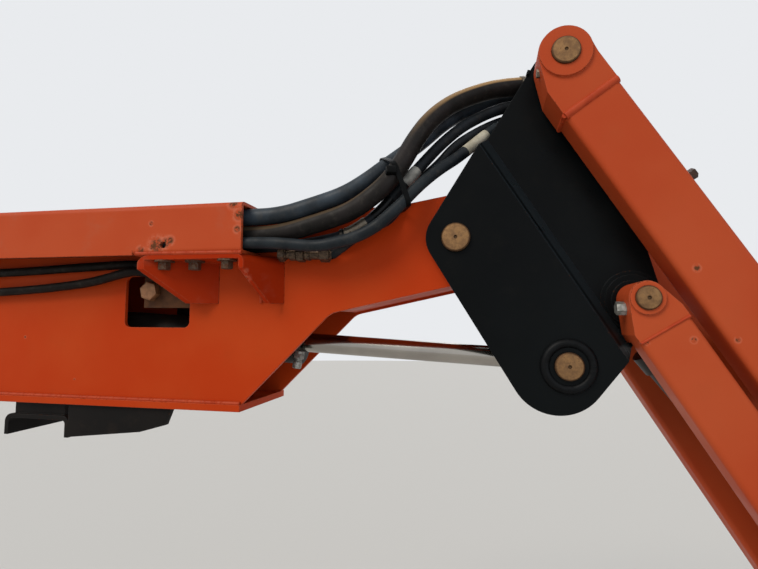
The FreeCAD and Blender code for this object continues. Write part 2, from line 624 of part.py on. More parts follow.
def bulkhead():
    """The cross plate beside the jib pin, with the ferrules in which the hoses end."""
    x1 = JIB_PIN[0] - ARM_PIN_RADIUS - BULKHEAD_TO_PIN
    x0 = x1 - BULKHEAD_THICKNESS
    z1 = JIB_PIN[1] + BULKHEAD_TOP_ABOVE_PIN
    shape = block(x0, x1, -NARROW_INNER, NARROW_INNER, z1 - BULKHEAD_HEIGHT, z1)
    for diameter, points in HOSE_ROUTES.values():
        end, along = hose_end(points)
        length = (x0 + BULKHEAD_THICKNESS / 2 - end.x) / along.x
        shape = shape.fuse(Part.makeCylinder(diameter / 2 + FERRULE_WALL, length, end + along * END_GAP, along))
    return shape.removeSplitter()


def hose_end(points):
    """Where a hose ends, and the way it points there."""
    end = route_point(points[-1])
    return end, (end - route_point(points[-2])).normalize()


def route_point(point):
    """A point of a route, given from the main pivot, in the row frame."""
    return vec(PIVOT_X + point[0], point[1], PIVOT_Z + point[2])


def two_stubs(at, radius, inner, outer):
    """A pin's two ends, clear of the cylinder eye between them."""
    stub = pin(at, radius, -outer, -inner)
    return Part.makeCompound([stub, mirrored(stub)])


def knuckle():
    side = knuckle_side()
    save("knuckle_side_right", side)
    save("knuckle_side_left", mirrored(side))
    save("knuckle_web", knuckle_web())
    save("hose_bulkhead", bulkhead())
    save("main_pivot_pin", pin(PIVOT, PIN_RADIUS, -WIDE_OUTER - PIN_PROUD, WIDE_OUTER + PIN_PROUD))
    save("cylinder_pin_ends", two_stubs(CYLINDER_PIN, ARM_PIN_RADIUS, LEVEL_EYE_HALF + LANE_GAP,
                                        WIDE_OUTER + COLLAR_PROUD + PIN_PROUD))


# Levelling cylinder, drawn along +X from its rear pin
def level_angle():
    dx = CYLINDER_PIN[0] - LEVEL_PIN[0]
    dz = CYLINDER_PIN[1] - LEVEL_PIN[1]
    return math.degrees(math.atan2(dz, dx)), math.hypot(dx, dz)


def level_cylinder():
    angle, length = level_angle()
    half = LEVEL_EYE_HALF
    barrel = rod_x(LEVEL_BARREL_RADIUS, LEVEL_EYE_RADIUS - EYE_SINK, LEVEL_GLAND_AT)
    for x in (LEVEL_EYE_RADIUS + PORT_FROM_END, LEVEL_GLAND_AT - PORT_FROM_END):
        barrel = barrel.fuse(port(x, LEVEL_BARREL_RADIUS, vec(0, 0, 1)))
    barrel = barrel.cut(rod_x(LEVEL_BORE_RADIUS, LEVEL_EYE_RADIUS + LEVEL_BARREL_BASE, LEVEL_GLAND_AT + 1))
    barrel = join(barrel, pin((0, 0), LEVEL_EYE_RADIUS, -half, half))
    barrel = barrel.cut(pin((0, 0), BORE_RADIUS, -half - 1, half + 1))
    save("level_barrel", turned(barrel, LEVEL_PIN, angle))
    gland = rod_x(LEVEL_GLAND_RADIUS, LEVEL_GLAND_AT, LEVEL_GLAND_AT + LEVEL_GLAND_LENGTH)
    gland = gland.cut(rod_x(LEVEL_ROD_RADIUS + PIN_FIT, LEVEL_GLAND_AT - 1,
                            LEVEL_GLAND_AT + LEVEL_GLAND_LENGTH + 1))
    save("level_gland", turned(gland, LEVEL_PIN, angle))
    piston_at = LEVEL_GLAND_AT - LEVEL_PISTON_TO_GLAND
    piston = rod_x(LEVEL_BORE_RADIUS - PIN_FIT, piston_at, piston_at + PISTON_LENGTH)
    rod = join(rod_x(LEVEL_ROD_RADIUS, piston_at + PISTON_LENGTH / 2, LEVEL_CHROME_END), piston)
    save("level_rod", turned(rod, LEVEL_PIN, angle))
    eye = join(rod_x(LEVEL_SLEEVE_RADIUS, LEVEL_CHROME_END, length),
               pin((length, 0), LEVEL_EYE_RADIUS, -half, half))
    save("level_rod_eye", turned(eye, LEVEL_PIN, angle))
    save("level_rear_pin", pin(LEVEL_PIN, PIN_RADIUS, -INNER, INNER))


def port(x, barrel_radius, way):
    """The boss of an oil port on a cylinder barrel."""
    foot = barrel_radius * PORT_FOOT_SHARE
    return Part.makeCylinder(PORT_RADIUS, barrel_radius + PORT_HEIGHT - foot, vec(x, 0, 0) + way * foot, way)


# Jib: two upper arms and two lower links, drawn along +X from their pins
def jib_side(height, below, width, ear_sizes, bore, ring_wall):
    """One tube with a solid ear at each end, its outer face at the arm's outer face."""
    length = JIB_LENGTH
    y0 = -ARM_OUTER
    y1 = y0 + width
    ear_y1 = y0 + EAR_WIDTH
    ear_length = ear_sizes[1]
    shape = tube(ear_length, length - ear_length, y0, y1, -below, height - below, ARM_WALL)
    for x, turn in ((0, 1), (length, -1)):
        ear = plate(outline_ear(x, turn, height, below, ear_sizes), y0, ear_y1)
        ring = pin((x, 0), bore + ring_wall, y0 - RING_PROUD, y0)
        shape = shape.fuse(ear).fuse(ring)
    for x in (0, length):
        shape = shape.cut(pin((x, 0), bore, y0 - RING_PROUD - 1, ear_y1 + 1))
    return shape.removeSplitter()


def outline_ear(x, turn, height, below, ear_sizes):
    """An ear's radius, length, and how far from its pin its lower and upper edges become straight."""
    radius, length, low_from, high_from = ear_sizes
    low, high = -below, height - below
    corners = [(x + turn * low_from, low, 0), (x + turn * length, low, 0),
               (x + turn * length, high, 0), (x + turn * high_from, high, 0)]
    return outline([(x, 0, radius)] + corners[::turn])


def cross(x0, x1, z, half):
    """A flat plate across, between the two sides of the jib."""
    return block(x0, x1, -half, half, z - CROSS_PLATE, z)


def jib():
    arm = jib_side(ARM_HEIGHT, ARM_BELOW_PIN, ARM_WIDTH, ARM_EAR, ARM_BORE_RADIUS, ARM_RING_WALL)
    arm_inner = ARM_OUTER - ARM_WIDTH
    hole = pin((BARREL_PIN_ALONG, -BARREL_PIN_BELOW), BORE_RADIUS, -ARM_OUTER - 1, 0)
    arm = arm.cut(hole)
    save("upper_arm_right", turned(arm, JIB_PIN, JIB_ANGLE))
    save("upper_arm_left", turned(mirrored(arm), JIB_PIN, JIB_ANGLE))
    top = ARM_HEIGHT - ARM_BELOW_PIN - TUBE_CORNER
    save("upper_cross_plate", turned(cross(ARM_CROSS_FROM, ARM_CROSS_FROM + ARM_CROSS_LENGTH, top, arm_inner),
                                     JIB_PIN, JIB_ANGLE))
    link = jib_side(LINK_HEIGHT, LINK_BELOW_PIN, LINK_WIDTH, LINK_EAR, LINK_BORE_RADIUS, LINK_RING_WALL)
    save("lower_link_right", turned(link, LINK_PIN, JIB_ANGLE))
    save("lower_link_left", turned(mirrored(link), LINK_PIN, JIB_ANGLE))
    low = -LINK_BELOW_PIN + TUBE_CORNER + CROSS_PLATE
    save("lower_cross_plate", turned(cross(LINK_CROSS_FROM, LINK_CROSS_FROM + ARM_CROSS_LENGTH, low,
                                           ARM_OUTER - LINK_WIDTH), LINK_PIN, JIB_ANGLE))
    end = ARM_OUTER + RING_PROUD
    save("jib_pin", pin(JIB_PIN, ARM_PIN_RADIUS, -end, end))
    save("jib_outer_pin", pin(ARM_PIN_OUT, ARM_PIN_RADIUS, -end, end))
    save("link_pin_ends", two_stubs(LINK_PIN, LINK_PIN_RADIUS, JIB_EYE_HALF + LANE_GAP, end))
    save("link_outer_pin", pin(LINK_PIN_OUT, LINK_PIN_RADIUS, -end, end))
    barrel_pin = turned(pin((BARREL_PIN_ALONG, -BARREL_PIN_BELOW), PIN_RADIUS, -ARM_OUTER, ARM_OUTER),
                        JIB_PIN, JIB_ANGLE)
    save("jib_barrel_pin", barrel_pin)


def barrel_pin_at():
    """The jib cylinder's pin on the upper arms, in the row frame."""
    ax, az = JIB_ALONG
    x = JIB_PIN[0] + BARREL_PIN_ALONG * ax + BARREL_PIN_BELOW * az
    z = JIB_PIN[1] + BARREL_PIN_ALONG * az - BARREL_PIN_BELOW * ax
    return (x, z)


def jib_cylinder():
    """Drawn along +X from the pin on the upper arms, towards the link pin."""
    at = barrel_pin_at()
    dx = LINK_PIN[0] - at[0]
    dz = LINK_PIN[1] - at[1]
    angle = math.degrees(math.atan2(dz, dx))
    length = math.hypot(dx, dz)
    half = JIB_EYE_HALF
    gland_at = length - JIB_ROD_SHOWING
    print(f"jib cylinder {length:.1f} mm, {angle:.2f} degrees, pin at {at[0]:.2f} {at[1]:.2f}")
    barrel = rod_x(JIB_BARREL_RADIUS, JIB_EYE_RADIUS - EYE_SINK, gland_at)
    barrel = barrel.fuse(port(JIB_EYE_RADIUS + PORT_FROM_END, JIB_BARREL_RADIUS, vec(0, -1, 0)))
    barrel = barrel.cut(rod_x(JIB_BORE_RADIUS, JIB_EYE_RADIUS + JIB_BARREL_BASE, gland_at + 1))
    barrel = join(barrel, pin((0, 0), JIB_EYE_RADIUS, -half, half))
    barrel = barrel.cut(pin((0, 0), BORE_RADIUS, -half - 1, half + 1))
    save("jib_barrel", turned(barrel, at, angle))
    gland = rod_x(JIB_BARREL_RADIUS + JIB_GLAND_PROUD, gland_at, gland_at + JIB_GLAND_LENGTH)
    gland = gland.cut(rod_x(JIB_ROD_RADIUS + PIN_FIT, gland_at - 1, gland_at + JIB_GLAND_LENGTH + 1))
    save("jib_gland", turned(gland, at, angle))
    piston_at = JIB_EYE_RADIUS + JIB_PISTON_FROM_EYE
    piston = rod_x(JIB_BORE_RADIUS - PIN_FIT, piston_at, piston_at + PISTON_LENGTH)
    rod_end = length - JIB_EYE_RADIUS + JIB_ROD_SEAT
    rod = join(rod_x(JIB_ROD_RADIUS, piston_at + PISTON_LENGTH / 2, rod_end), piston)
    save("jib_rod", turned(rod, at, angle))
    eye = pin((length, 0), JIB_EYE_RADIUS, -half, half)
    eye = eye.cut(rod_x(JIB_ROD_RADIUS, length - JIB_EYE_RADIUS - 1, rod_end))
    save("jib_rod_eye", turned(eye, at, angle))


# Platform bracket at the jib's outer end
def platform_bracket():
    face_x = LINK_PIN_OUT[0] + FACE_REACH
    mid_z = (ARM_PIN_OUT[1] + LINK_PIN_OUT[1]) / 2
    low = mid_z - FACE_HEIGHT / 2
    high = mid_z + FACE_HEIGHT / 2
    discs = [LINK_PIN_OUT + (JIB_EAR_RADIUS,), (face_x - FACE_PLATE, low, 0), (face_x - FACE_PLATE, high, 0),
             ARM_PIN_OUT + (JIB_EAR_RADIUS,)]
    side = plate(outline(discs), -KNUCKLE_NARROW_OUTER, -NARROW_INNER)
    for at, bore in ((ARM_PIN_OUT, ARM_BORE_RADIUS), (LINK_PIN_OUT, LINK_BORE_RADIUS)):
        side = side.fuse(pin(at, bore + BOSS_WALL, -BOSS_OUTER, -NARROW_INNER))
        side = side.cut(pin(at, bore, -ARM_OUTER, 0))
    side = side.removeSplitter()
    save("platform_side_right", side)
    save("platform_side_left", mirrored(side))
    face = block(face_x - FACE_PLATE, face_x, -FACE_WIDTH / 2, FACE_WIDTH / 2, low, high)
    hole_y = FACE_WIDTH / 2 - FACE_HOLE_MARGIN_Y
    for y in (-hole_y, hole_y):
        for z in (low + FACE_HOLE_MARGIN_Z, high - FACE_HOLE_MARGIN_Z):
            face = face.cut(Part.makeCylinder(FACE_HOLE_RADIUS, FACE_PLATE + 2,
                                              vec(face_x - FACE_PLATE - 1, y, z), vec(1, 0, 0)))
    save("platform_face_plate", face)
    back = face_x - FACE_PLATE
    save("platform_web", block(back - FACE_WEB_REACH, back, -NARROW_INNER, NARROW_INNER,
                               mid_z - FACE_WEB_PLATE / 2, mid_z + FACE_WEB_PLATE / 2))
    print(f"platform face at x {face_x:.2f}, z {mid_z:.2f}")


# Hoses: straight runs joined by tangent arcs
def hose_path(points):
    """The route as lines and arcs, with the radius of each arc."""
    pts = [route_point(p) for p in points]
    edges = []
    radii = []
    start = pts[0]
    for before, corner, after in zip(pts, pts[1:], pts[2:]):
        u = (corner - before).normalize()
        w = (after - corner).normalize()
        turn = math.acos(max(-1.0, min(1.0, u.dot(w))))
        shorter = min((corner - before).Length, (after - corner).Length)
        cut_back = 0.45 * shorter
        radius = cut_back / math.tan(turn / 2)
        a = corner - u * cut_back
        b = corner + w * cut_back
        centre = a + ((b - a) - u * ((b - a).dot(u))).normalize() * radius
        middle = centre + (corner - centre).normalize() * radius
        edges.append(Part.makeLine(start, a))
        edges.append(Part.Arc(a, middle, b).toShape())
        radii.append(radius)
        start = b
    edges.append(Part.makeLine(start, pts[-1]))
    return Part.Wire(edges), radii


def hose(points, diameter):
    """A round hose along the route, as one solid, checked against section times length."""
    radius = diameter / 2
    wire, radii = hose_path(points)
    start = route_point(points[0])
    direction = (route_point(points[1]) - start).normalize()
    ring = Part.Wire(Part.makeCircle(radius, start, direction))
    solid = wire.makePipeShell([ring], True, False)
    expected = math.pi * radius * radius * wire.Length
    print(f"  length {wire.Length:.0f}, least radius {min(radii):.0f} or {min(radii) / diameter:.1f} diameters, "
          f"volume ratio {solid.Volume / expected:.4f}")
    return solid


def hoses():
    for name, (diameter, points) in list(HOSE_ROUTES.items()) + list(SIDE_HOSE_ROUTES.items()):
        save(name, hose(points, diameter))


def ball_elbow(points, index, radius, length, ball, stub, seat_y):
    """A fitting on a hose's end: a sleeve along the hose, a ball, and a stub across to its seat."""
    end = route_point(points[index])
    beside = route_point(points[1] if index == 0 else points[-2])
    along = (end - beside).normalize()
    centre = end + along * (END_GAP + length)
    sleeve = Part.makeCylinder(radius, length, end + along * END_GAP, along)
    stub_bar = Part.makeCylinder(stub, seat_y - centre.y, centre, vec(0, 1, 0))
    return sleeve.fuse(Part.makeSphere(ball, centre)).fuse(stub_bar).removeSplitter()


def fittings():
    """The metal ends of the hoses that leave the bundle, and the clamp on the side hoses."""
    save("hose_adapter", ball_elbow(HOSE_ROUTES["hose_5"][1], 0, ADAPTER_RADIUS, ADAPTER_LENGTH,
                                    ADAPTER_BALL, ADAPTER_RADIUS, -HALF_BOOM))
    elbows = [ball_elbow(points, -1, ELBOW_RADIUS, ELBOW_LENGTH, ELBOW_BALL, ELBOW_STUB, -INNER)
              for _, points in SIDE_HOSE_ROUTES.values()]
    save("side_hose_elbows", Part.makeCompound(elbows))
    starts = [route_point(points[0]) for _, points in SIDE_HOSE_ROUTES.values()]
    radius = max(diameter for diameter, _ in SIDE_HOSE_ROUTES.values()) / 2
    margin = radius + END_CLAMP_MARGIN
    save("side_hose_clamp", block(END_CLAMP_START, starts[0].x - END_CLAMP_GAP,
                                  -HALF_BOOM - END_CLAMP_DEPTH, -HALF_BOOM,
                                  min(p.z for p in starts) - margin, max(p.z for p in starts) + margin))


def cable_tie():
    """The strap round the bundle, drawn as a loop across it, with Y to the right and the head up."""
    angle = math.radians(TIE_ANGLE)
    along = vec(math.cos(angle), 0, math.sin(angle))
    up = vec(-math.sin(angle), 0, math.cos(angle))
    centre = route_point((TIE_AT[0], 0, TIE_AT[1]))
    corner = centre - vec(0, TIE_SHEET / 2, 0) - up * (TIE_SHEET / 2)
    sheet = Part.makePlane(TIE_SHEET, TIE_SHEET, corner, along, vec(0, 1, 0))
    discs = []
    for name in TIE_ROUND:
        diameter, points = HOSE_ROUTES[name]
        cross_point = hose_path(points)[0].section(sheet).Vertexes[0].Point - centre
        discs.append((cross_point.y, cross_point.dot(up), diameter / 2 + TIE_GAP))
    outer = plate(outline([(y, z, r + TIE_STRAP) for y, z, r in discs]), 0, TIE_WIDTH)
    loop = outer.cut(plate(outline(discs), -1, TIE_WIDTH + 1))
    head_y, head_z, head_r = discs[1]
    length, height, lift = TIE_HEAD
    head = block(head_y - length / 2, head_y + length / 2, -1, TIE_WIDTH + 2, head_z + head_r + TIE_HEAD_LIFT,
                 head_z + head_r + lift)
    tie = loop.fuse(head).removeSplitter()
    tie.Placement = FreeCAD.Placement(centre + along * (TIE_WIDTH / 2),
                                      FreeCAD.Rotation(vec(0, 1, 0), along * -1, up))
    save("cable_tie", tie)


def main():
    os.makedirs("parts", exist_ok=True)
    boom()
    channel()
    shelf()
    clamp_block()
    saddle()
    knuckle()
    level_cylinder()
    jib()
    jib_cylinder()
    platform_bracket()
    hoses()
    fittings()
    cable_tie()


main()
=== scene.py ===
# %% [markdown]
# # The jib knuckle of a boom lift
#
# This is the elbow of an articulating boom lift: the orange end of the main boom, the black
# knuckle bracket that a levelling cylinder keeps upright, and the parallel jib that carries the
# work platform. The steel comes from a fixed frame of solid parts. This script adds what the
# eye looks for next: paint with wear, hoses, welds, bolts and light.

# %% Load the frame
import json
import math
import random

import bmesh
import bpy
from mathutils import Matrix, Vector
from mathutils.geometry import convex_hull_2d


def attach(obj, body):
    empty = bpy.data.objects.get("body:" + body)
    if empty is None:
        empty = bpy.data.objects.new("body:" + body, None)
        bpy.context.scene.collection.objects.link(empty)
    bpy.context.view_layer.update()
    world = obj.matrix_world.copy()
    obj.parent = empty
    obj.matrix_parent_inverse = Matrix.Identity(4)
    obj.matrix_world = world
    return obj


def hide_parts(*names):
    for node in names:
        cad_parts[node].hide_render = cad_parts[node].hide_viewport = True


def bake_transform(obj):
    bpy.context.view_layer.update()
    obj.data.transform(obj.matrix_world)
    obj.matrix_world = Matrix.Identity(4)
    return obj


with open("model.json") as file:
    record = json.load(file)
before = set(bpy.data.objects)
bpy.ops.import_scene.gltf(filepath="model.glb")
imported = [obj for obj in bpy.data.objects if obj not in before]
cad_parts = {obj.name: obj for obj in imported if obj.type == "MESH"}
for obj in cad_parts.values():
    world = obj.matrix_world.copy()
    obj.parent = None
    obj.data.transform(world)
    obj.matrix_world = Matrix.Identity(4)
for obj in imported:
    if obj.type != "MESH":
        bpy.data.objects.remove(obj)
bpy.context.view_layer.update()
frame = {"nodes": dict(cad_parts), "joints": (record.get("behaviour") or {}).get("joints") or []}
random.seed(7)

# %% [markdown]
# ## Places
#
# Every size below is in millimetres, measured from the centre of the main pivot pin, because
# that pin is the one place that the boom and the bracket share. One function turns such a place
# into metres in the frame. The other pins are read from the joints, so they can't drift.

# %% Places from the main pivot
MM = 0.001
joint_at = {j["name"]: Vector(j["pos_m"]) for j in frame["joints"] if "pos_m" in j}
PIVOT = joint_at["knuckle_pivot"]
JIB_PIN = joint_at["jib_upper_pivot"]
LINK_PIN = joint_at["jib_lower_pivot"]
OUTER_PIN = joint_at["platform_pivot"]
LEVEL_PIN = joint_at["level_barrel_swing"]
BARREL_PIN = joint_at["jib_barrel_swing"]


def place(x, y, z):
    """A place in millimetres from the main pivot, as metres in the frame."""
    return PIVOT + Vector((x, y, z)) * MM


jib_along = (OUTER_PIN - JIB_PIN).normalized()
jib_up = Vector((-jib_along.z, 0, jib_along.x))
OUTER_LINK_PIN = LINK_PIN + (OUTER_PIN - JIB_PIN)
# Y of three faces: the boom's near side, the hose channel and the near arm.
BOOM_FACE, CHANNEL_FACE, ARM_FACE = -76.2, -134, -117
print("jib length", round((OUTER_PIN - JIB_PIN).length, 4), "m")

# %% [markdown]
# ## Camera
#
# The photograph is taken from just beside the machine with a wide lens, looking slightly up and
# to the left. The place and the three directions were solved from the pins' known sizes. With a
# wide lens the distance matters as much as the angle: two metres further back, the near arms
# would no longer look wider than the far ones.

# %% Camera at the photograph's place
LENS, SENSOR = 23.75, 36.0  # the lens's focal length and the sensor's width, in mm
EYE = place(33.9, -752, -111.7)
camera_data = bpy.data.cameras.new("camera")
camera_data.lens = LENS
camera_data.sensor_width = SENSOR
camera = bpy.data.objects.new("camera", camera_data)
right = Vector((0.97930, 0.20234, 0.00632)).normalized()
forward = Vector((-0.20217, 0.97656, 0.07348)).normalized()
above = right.cross(forward)
turn = Matrix((right, above, -forward)).transposed().to_4x4()
camera.matrix_world = Matrix.Translation(EYE) @ turn
bpy.context.scene.collection.objects.link(camera)
bpy.context.scene.camera = camera
print("camera", round((EYE - PIVOT).length, 3), "m from the main pivot")

# %% [markdown]
# ## Colour and nodes
#
# Colours are written as they look on a screen, in sRGB hex, and Blender's shaders want linear
# light, so one function converts them. A second function adds any node with its settings and
# links. The small ones after it name what a node is for, so a material reads like a recipe.

# %% Colour and node helpers
def linear(code):
    """An sRGB hex colour as linear light, with an alpha of 1."""
    parts = [int(code[i:i + 2], 16) / 255 for i in (1, 3, 5)]
    return (*[c / 12.92 if c <= 0.04045 else ((c + 0.055) / 1.055) ** 2.4 for c in parts], 1.0)


def add(tree, kind, settings=None, inputs=None):
    """Adds a node; an input is a value, or another node's output to link."""
    made = tree.nodes.new(kind)
    for key, value in (settings or {}).items():
        setattr(made, key, value)
    for key, value in (inputs or {}).items():
        if isinstance(value, bpy.types.NodeSocket):
            tree.links.new(value, made.inputs[key])
        else:
            made.inputs[key].default_value = value
    return made


def start_material(name):
    """An empty material with a surface shader, and the coordinates that its patterns read."""
    material = bpy.data.materials.new(name)
    material.use_nodes = True
    tree = material.node_tree
    tree.nodes.clear()
    shader = add(tree, "ShaderNodeBsdfPrincipled")
    add(tree, "ShaderNodeOutputMaterial", inputs={"Surface": shader.outputs["BSDF"]})
    where = add(tree, "ShaderNodeTexCoord").outputs["Object"]
    return material, tree, shader, where


def noise(tree, where, size_mm, detail=2.0, roughness=0.5):
    """Noise whose blotches are about that many millimetres across."""
    made = add(tree, "ShaderNodeTexNoise", inputs={
        "Vector": where, "Scale": 1 / (size_mm * MM), "Detail": detail, "Roughness": roughness})
    return made.outputs["Fac"]


def between(tree, value, low, high, to_low=0.0, to_high=1.0):
    """Stretches a value from one range to another, smoothly and clamped."""
    made = add(tree, "ShaderNodeMapRange", {"interpolation_type": "SMOOTHSTEP"}, {
        "Value": value, "From Min": low, "From Max": high, "To Min": to_low, "To Max": to_high})
    return made.outputs["Result"]


def mix(tree, share, a, b):
    """One colour over another."""
    made = add(tree, "ShaderNodeMix", {"data_type": "RGBA"})
    for slot_number, value in ((0, share), (6, a), (7, b)):
        if isinstance(value, bpy.types.NodeSocket):
            tree.links.new(value, made.inputs[slot_number])
        else:
            made.inputs[slot_number].default_value = value
    return made.outputs[2]


def math_node(tree, operation, a, b=0.0):
    """A sum on one value or two."""
    return add(tree, "ShaderNodeMath", {"operation": operation}, {0: a, 1: b}).outputs[0]


def dot(tree, a, b):
    """How far two directions agree: 1 when they are the same, 0 at a right angle."""
    made = add(tree, "ShaderNodeVectorMath", {"operation": "DOT_PRODUCT"}, {0: a, 1: b})
    return made.outputs["Value"]


def relief(tree, height, strength, depth_mm, normal=None, invert=False):
    """A surface normal pushed in and out by a height."""
    inputs = {"Strength": strength, "Distance": depth_mm * MM, "Height": height}
    if normal is not None:
        inputs["Normal"] = normal
    return add(tree, "ShaderNodeBump", {"invert": invert}, inputs).outputs["Normal"]


def drift(tree, where, size_mm, colour, second, high=0.7):
    """Two tones that run into each other in blotches."""
    share = between(tree, noise(tree, where, size_mm, 4), 0.35, high)
    return mix(tree, share, linear(colour), linear(second))


print("mid grey on a screen is", round(linear("#808080")[0], 3), "of full light")

# %% [markdown]
# ## Worn edges with a painted highlight
#
# Sprayed paint is thinnest along a cut edge, so that is where it chips. The same edges get a
# painted highlight: a paler colour mixed into the paint. The shader's Bevel node rounds the normal
# near an edge. Comparing it with the true normal gives a mask that is 0 on a flat face and rises
# towards an edge, on any mesh, without painting a mask.

# %% Edge mask
def edge_mask(tree, radius_mm):
    """The mask, and the rounded normal that it comes from."""
    bevel = add(tree, "ShaderNodeBevel", {"samples": 4}, {"Radius": radius_mm * MM})
    rounded = bevel.outputs["Normal"]
    true = add(tree, "ShaderNodeNewGeometry").outputs["Normal"]
    return between(tree, dot(tree, rounded, true), 0.995, 0.86), rounded


# %% [markdown]
# ## Painted light in a fold, rust in spots
#
# The bracket's side plates step outwards along one fold. Where a plate faces across the fold, on
# the step's slope, the paint turns paler and bluer: a painted highlight. A near-black line along
# the fold is painted shade. Rust is placed at listed spots: a spot is the distance from a point,
# torn at its edge by noise, with a pale ring where the primer shows.

# %% Fold and spots
def fold_painted_light(tree, where, paint, across, line_at, slope_highlight):
    """Painted highlight where it faces across the fold, painted shade on a line through a point."""
    normal = add(tree, "ShaderNodeTexCoord").outputs["Normal"]
    on_slope = between(tree, dot(tree, normal, across), 0.5, 0.8)
    # A painted highlight: where the plate faces across the fold, the paint turns paler and bluer.
    paint = mix(tree, on_slope, paint, linear(slope_highlight))
    # Painted shade: a near-black line along the fold.
    along = math_node(tree, "SUBTRACT", dot(tree, where, across), line_at.dot(across))
    off_line = math_node(tree, "ABSOLUTE", along)
    line = between(tree, off_line, 2.4 * MM, 0.8 * MM, 0.0, 0.9)
    return mix(tree, line, paint, linear("#010101"))


def rust_spot(tree, where, paint, worn, x, y, z, radius):
    """Paint with one more ring of primer, and the worn mask with one more spot."""
    off_centre = add(tree, "ShaderNodeVectorMath", {"operation": "DISTANCE"},
                     {0: where, 1: place(x, y, z)}).outputs["Value"]
    spot = between(tree, off_centre, radius * MM, radius * MM * 0.4)
    ragged = between(tree, noise(tree, where, 4, 5, 0.7), 0.40, 0.52)
    primer = between(tree, off_centre, radius * 1.5 * MM, radius * 0.8 * MM, 0.0, 0.32)
    paint = mix(tree, math_node(tree, "MULTIPLY", primer, ragged), paint, linear("#D98468"))
    return paint, math_node(tree, "MAXIMUM", worn, math_node(tree, "MULTIPLY", spot, ragged))


# %% [markdown]
# ## Sprayed paint
#
# One recipe serves every painted part. From below, it goes: two tones that drift in blotches a
# hand wide, grime in smaller ones, a painted highlight along the edges, chips and spots worn
# through to brown rust. The skin has a fine orange-peel, and sinks where paint is lost.

# %% Recipe for sprayed paint
EDGE_RADIUS = 1.6


def sprayed_steel(name, colour, faded, rough, chips, peel=0.08, dust="#8C7A66", dust_share=0.12,
                  edge_highlight="#2A2E31", sheen=0.12, rust_spots=(), fold=None):
    """Paint on steel with a painted highlight on its edges; fold goes to the fold's painted light.
    """
    material, tree, shader, where = start_material(name)
    shader.inputs["Specular IOR Level"].default_value = sheen
    blotch = between(tree, noise(tree, where, 160, 3), 0.35, 0.7)
    paint = mix(tree, blotch, linear(colour), linear(faded))
    grime = between(tree, noise(tree, where, 38, 5, 0.65), 0.52, 0.78, 0.0, dust_share)
    paint = mix(tree, grime, paint, linear(dust))
    edge, rounded = edge_mask(tree, EDGE_RADIUS)
    # A painted highlight: every edge is mixed part way towards a paler colour.
    paint = mix(tree, math_node(tree, "MULTIPLY", edge, 0.45), paint, linear(edge_highlight))
    if fold:
        paint = fold_painted_light(tree, where, paint, *fold)
    speckle = between(tree, noise(tree, where, 5, 4, 0.7), 0.62 - chips, 0.66 - chips)
    worn = math_node(tree, "MULTIPLY", edge, speckle)
    for spot in rust_spots:
        paint, worn = rust_spot(tree, where, paint, worn, *spot)
    rust = mix(tree, noise(tree, where, 3, 3), linear("#2E1A12"), linear("#7A4A2C"))
    tree.links.new(mix(tree, worn, paint, rust), shader.inputs["Base Color"])
    gloss = between(tree, noise(tree, where, 60, 4), 0.3, 0.7, rough - 0.06, rough + 0.10)
    rust_rough = math_node(tree, "MULTIPLY", worn, 0.85)
    tree.links.new(math_node(tree, "MAXIMUM", gloss, rust_rough), shader.inputs["Roughness"])
    skin = relief(tree, noise(tree, where, 2.6, 2), peel, 0.4, rounded)
    tree.links.new(relief(tree, worn, 0.5, 0.5, skin, invert=True), shader.inputs["Normal"])
    return material


# %% [markdown]
# ## Orange enamel
#
# The boom and the jib are sprayed with a polyurethane enamel over blasted steel. Years in the sun
# have chalked it a little, so the gloss is dull. The boom and its channel are not quite the same
# orange as the jib. The shelf below is a darker, deeper orange, which is painted shade under the
# channel. Each has its own few rust spots.

# %% Orange paints
# A spot is a place in mm from the main pivot, and a radius in mm.
JIB_SPOTS = [(276.3, ARM_FACE, -48.1, 4.5), (314.9, ARM_FACE, -130.1, 3.5),
             (270.2, ARM_FACE, -130.7, 4), (220.7, ARM_FACE, -134.8, 3)]
BOOM_SPOTS = [(-295, -86, -232.5, 7), (-300, -80, -236, 5), (-686, BOOM_FACE, -140.4, 2.5),
              (-590, BOOM_FACE, -205, 2)]
CHANNEL_SPOTS = [(x, CHANNEL_FACE, z, radius) for x, z, radius in (
    (-413, -7, 13), (-399, -4, 9), (-392, -1, 7), (-420, -9, 6), (-423, 24, 4),
    (-298, 48, 9), (-289, 31, 9), (-291, 12, 6), (-438, -14, 7), (-287, 62, 7))]
SHELF_SPOTS = [(-281, -120, -33, 5), (-281, -120, -52, 6), (-281, -127, -44, 4),
               (-252, -134, -26, 5)]
# The paler colour of the painted highlight on orange edges.
ORANGE_EDGE_HIGHLIGHT = "#CF7050"
orange = sprayed_steel("orange_enamel", "#B24420", "#B74E29", 0.46, 0.06, dust="#9F4B25",
                       edge_highlight=ORANGE_EDGE_HIGHLIGHT, rust_spots=JIB_SPOTS)
orange_boom = sprayed_steel("orange_enamel_boom", "#B83A10", "#BC4318", 0.42, 0.06,
                            dust="#9C4218", edge_highlight=ORANGE_EDGE_HIGHLIGHT, sheen=0.07, rust_spots=BOOM_SPOTS)
orange_channel = sprayed_steel("orange_enamel_chipped", "#B84520", "#BC4E29", 0.46, 0.12,
                               edge_highlight=ORANGE_EDGE_HIGHLIGHT, sheen=0.1, rust_spots=CHANNEL_SPOTS)
# The shelf's darker, deeper orange is painted shade: it sits under the channel.
orange_shelf_painted_shade = sprayed_steel("orange_enamel_shelf_painted_shade", "#A02606", "#A62F0C", 0.46, 0.08,
                             edge_highlight=ORANGE_EDGE_HIGHLIGHT, sheen=0.04, rust_spots=SHELF_SPOTS)
print("rust spots:", sum(map(len, (JIB_SPOTS, BOOM_SPOTS, CHANNEL_SPOTS, SHELF_SPOTS))))
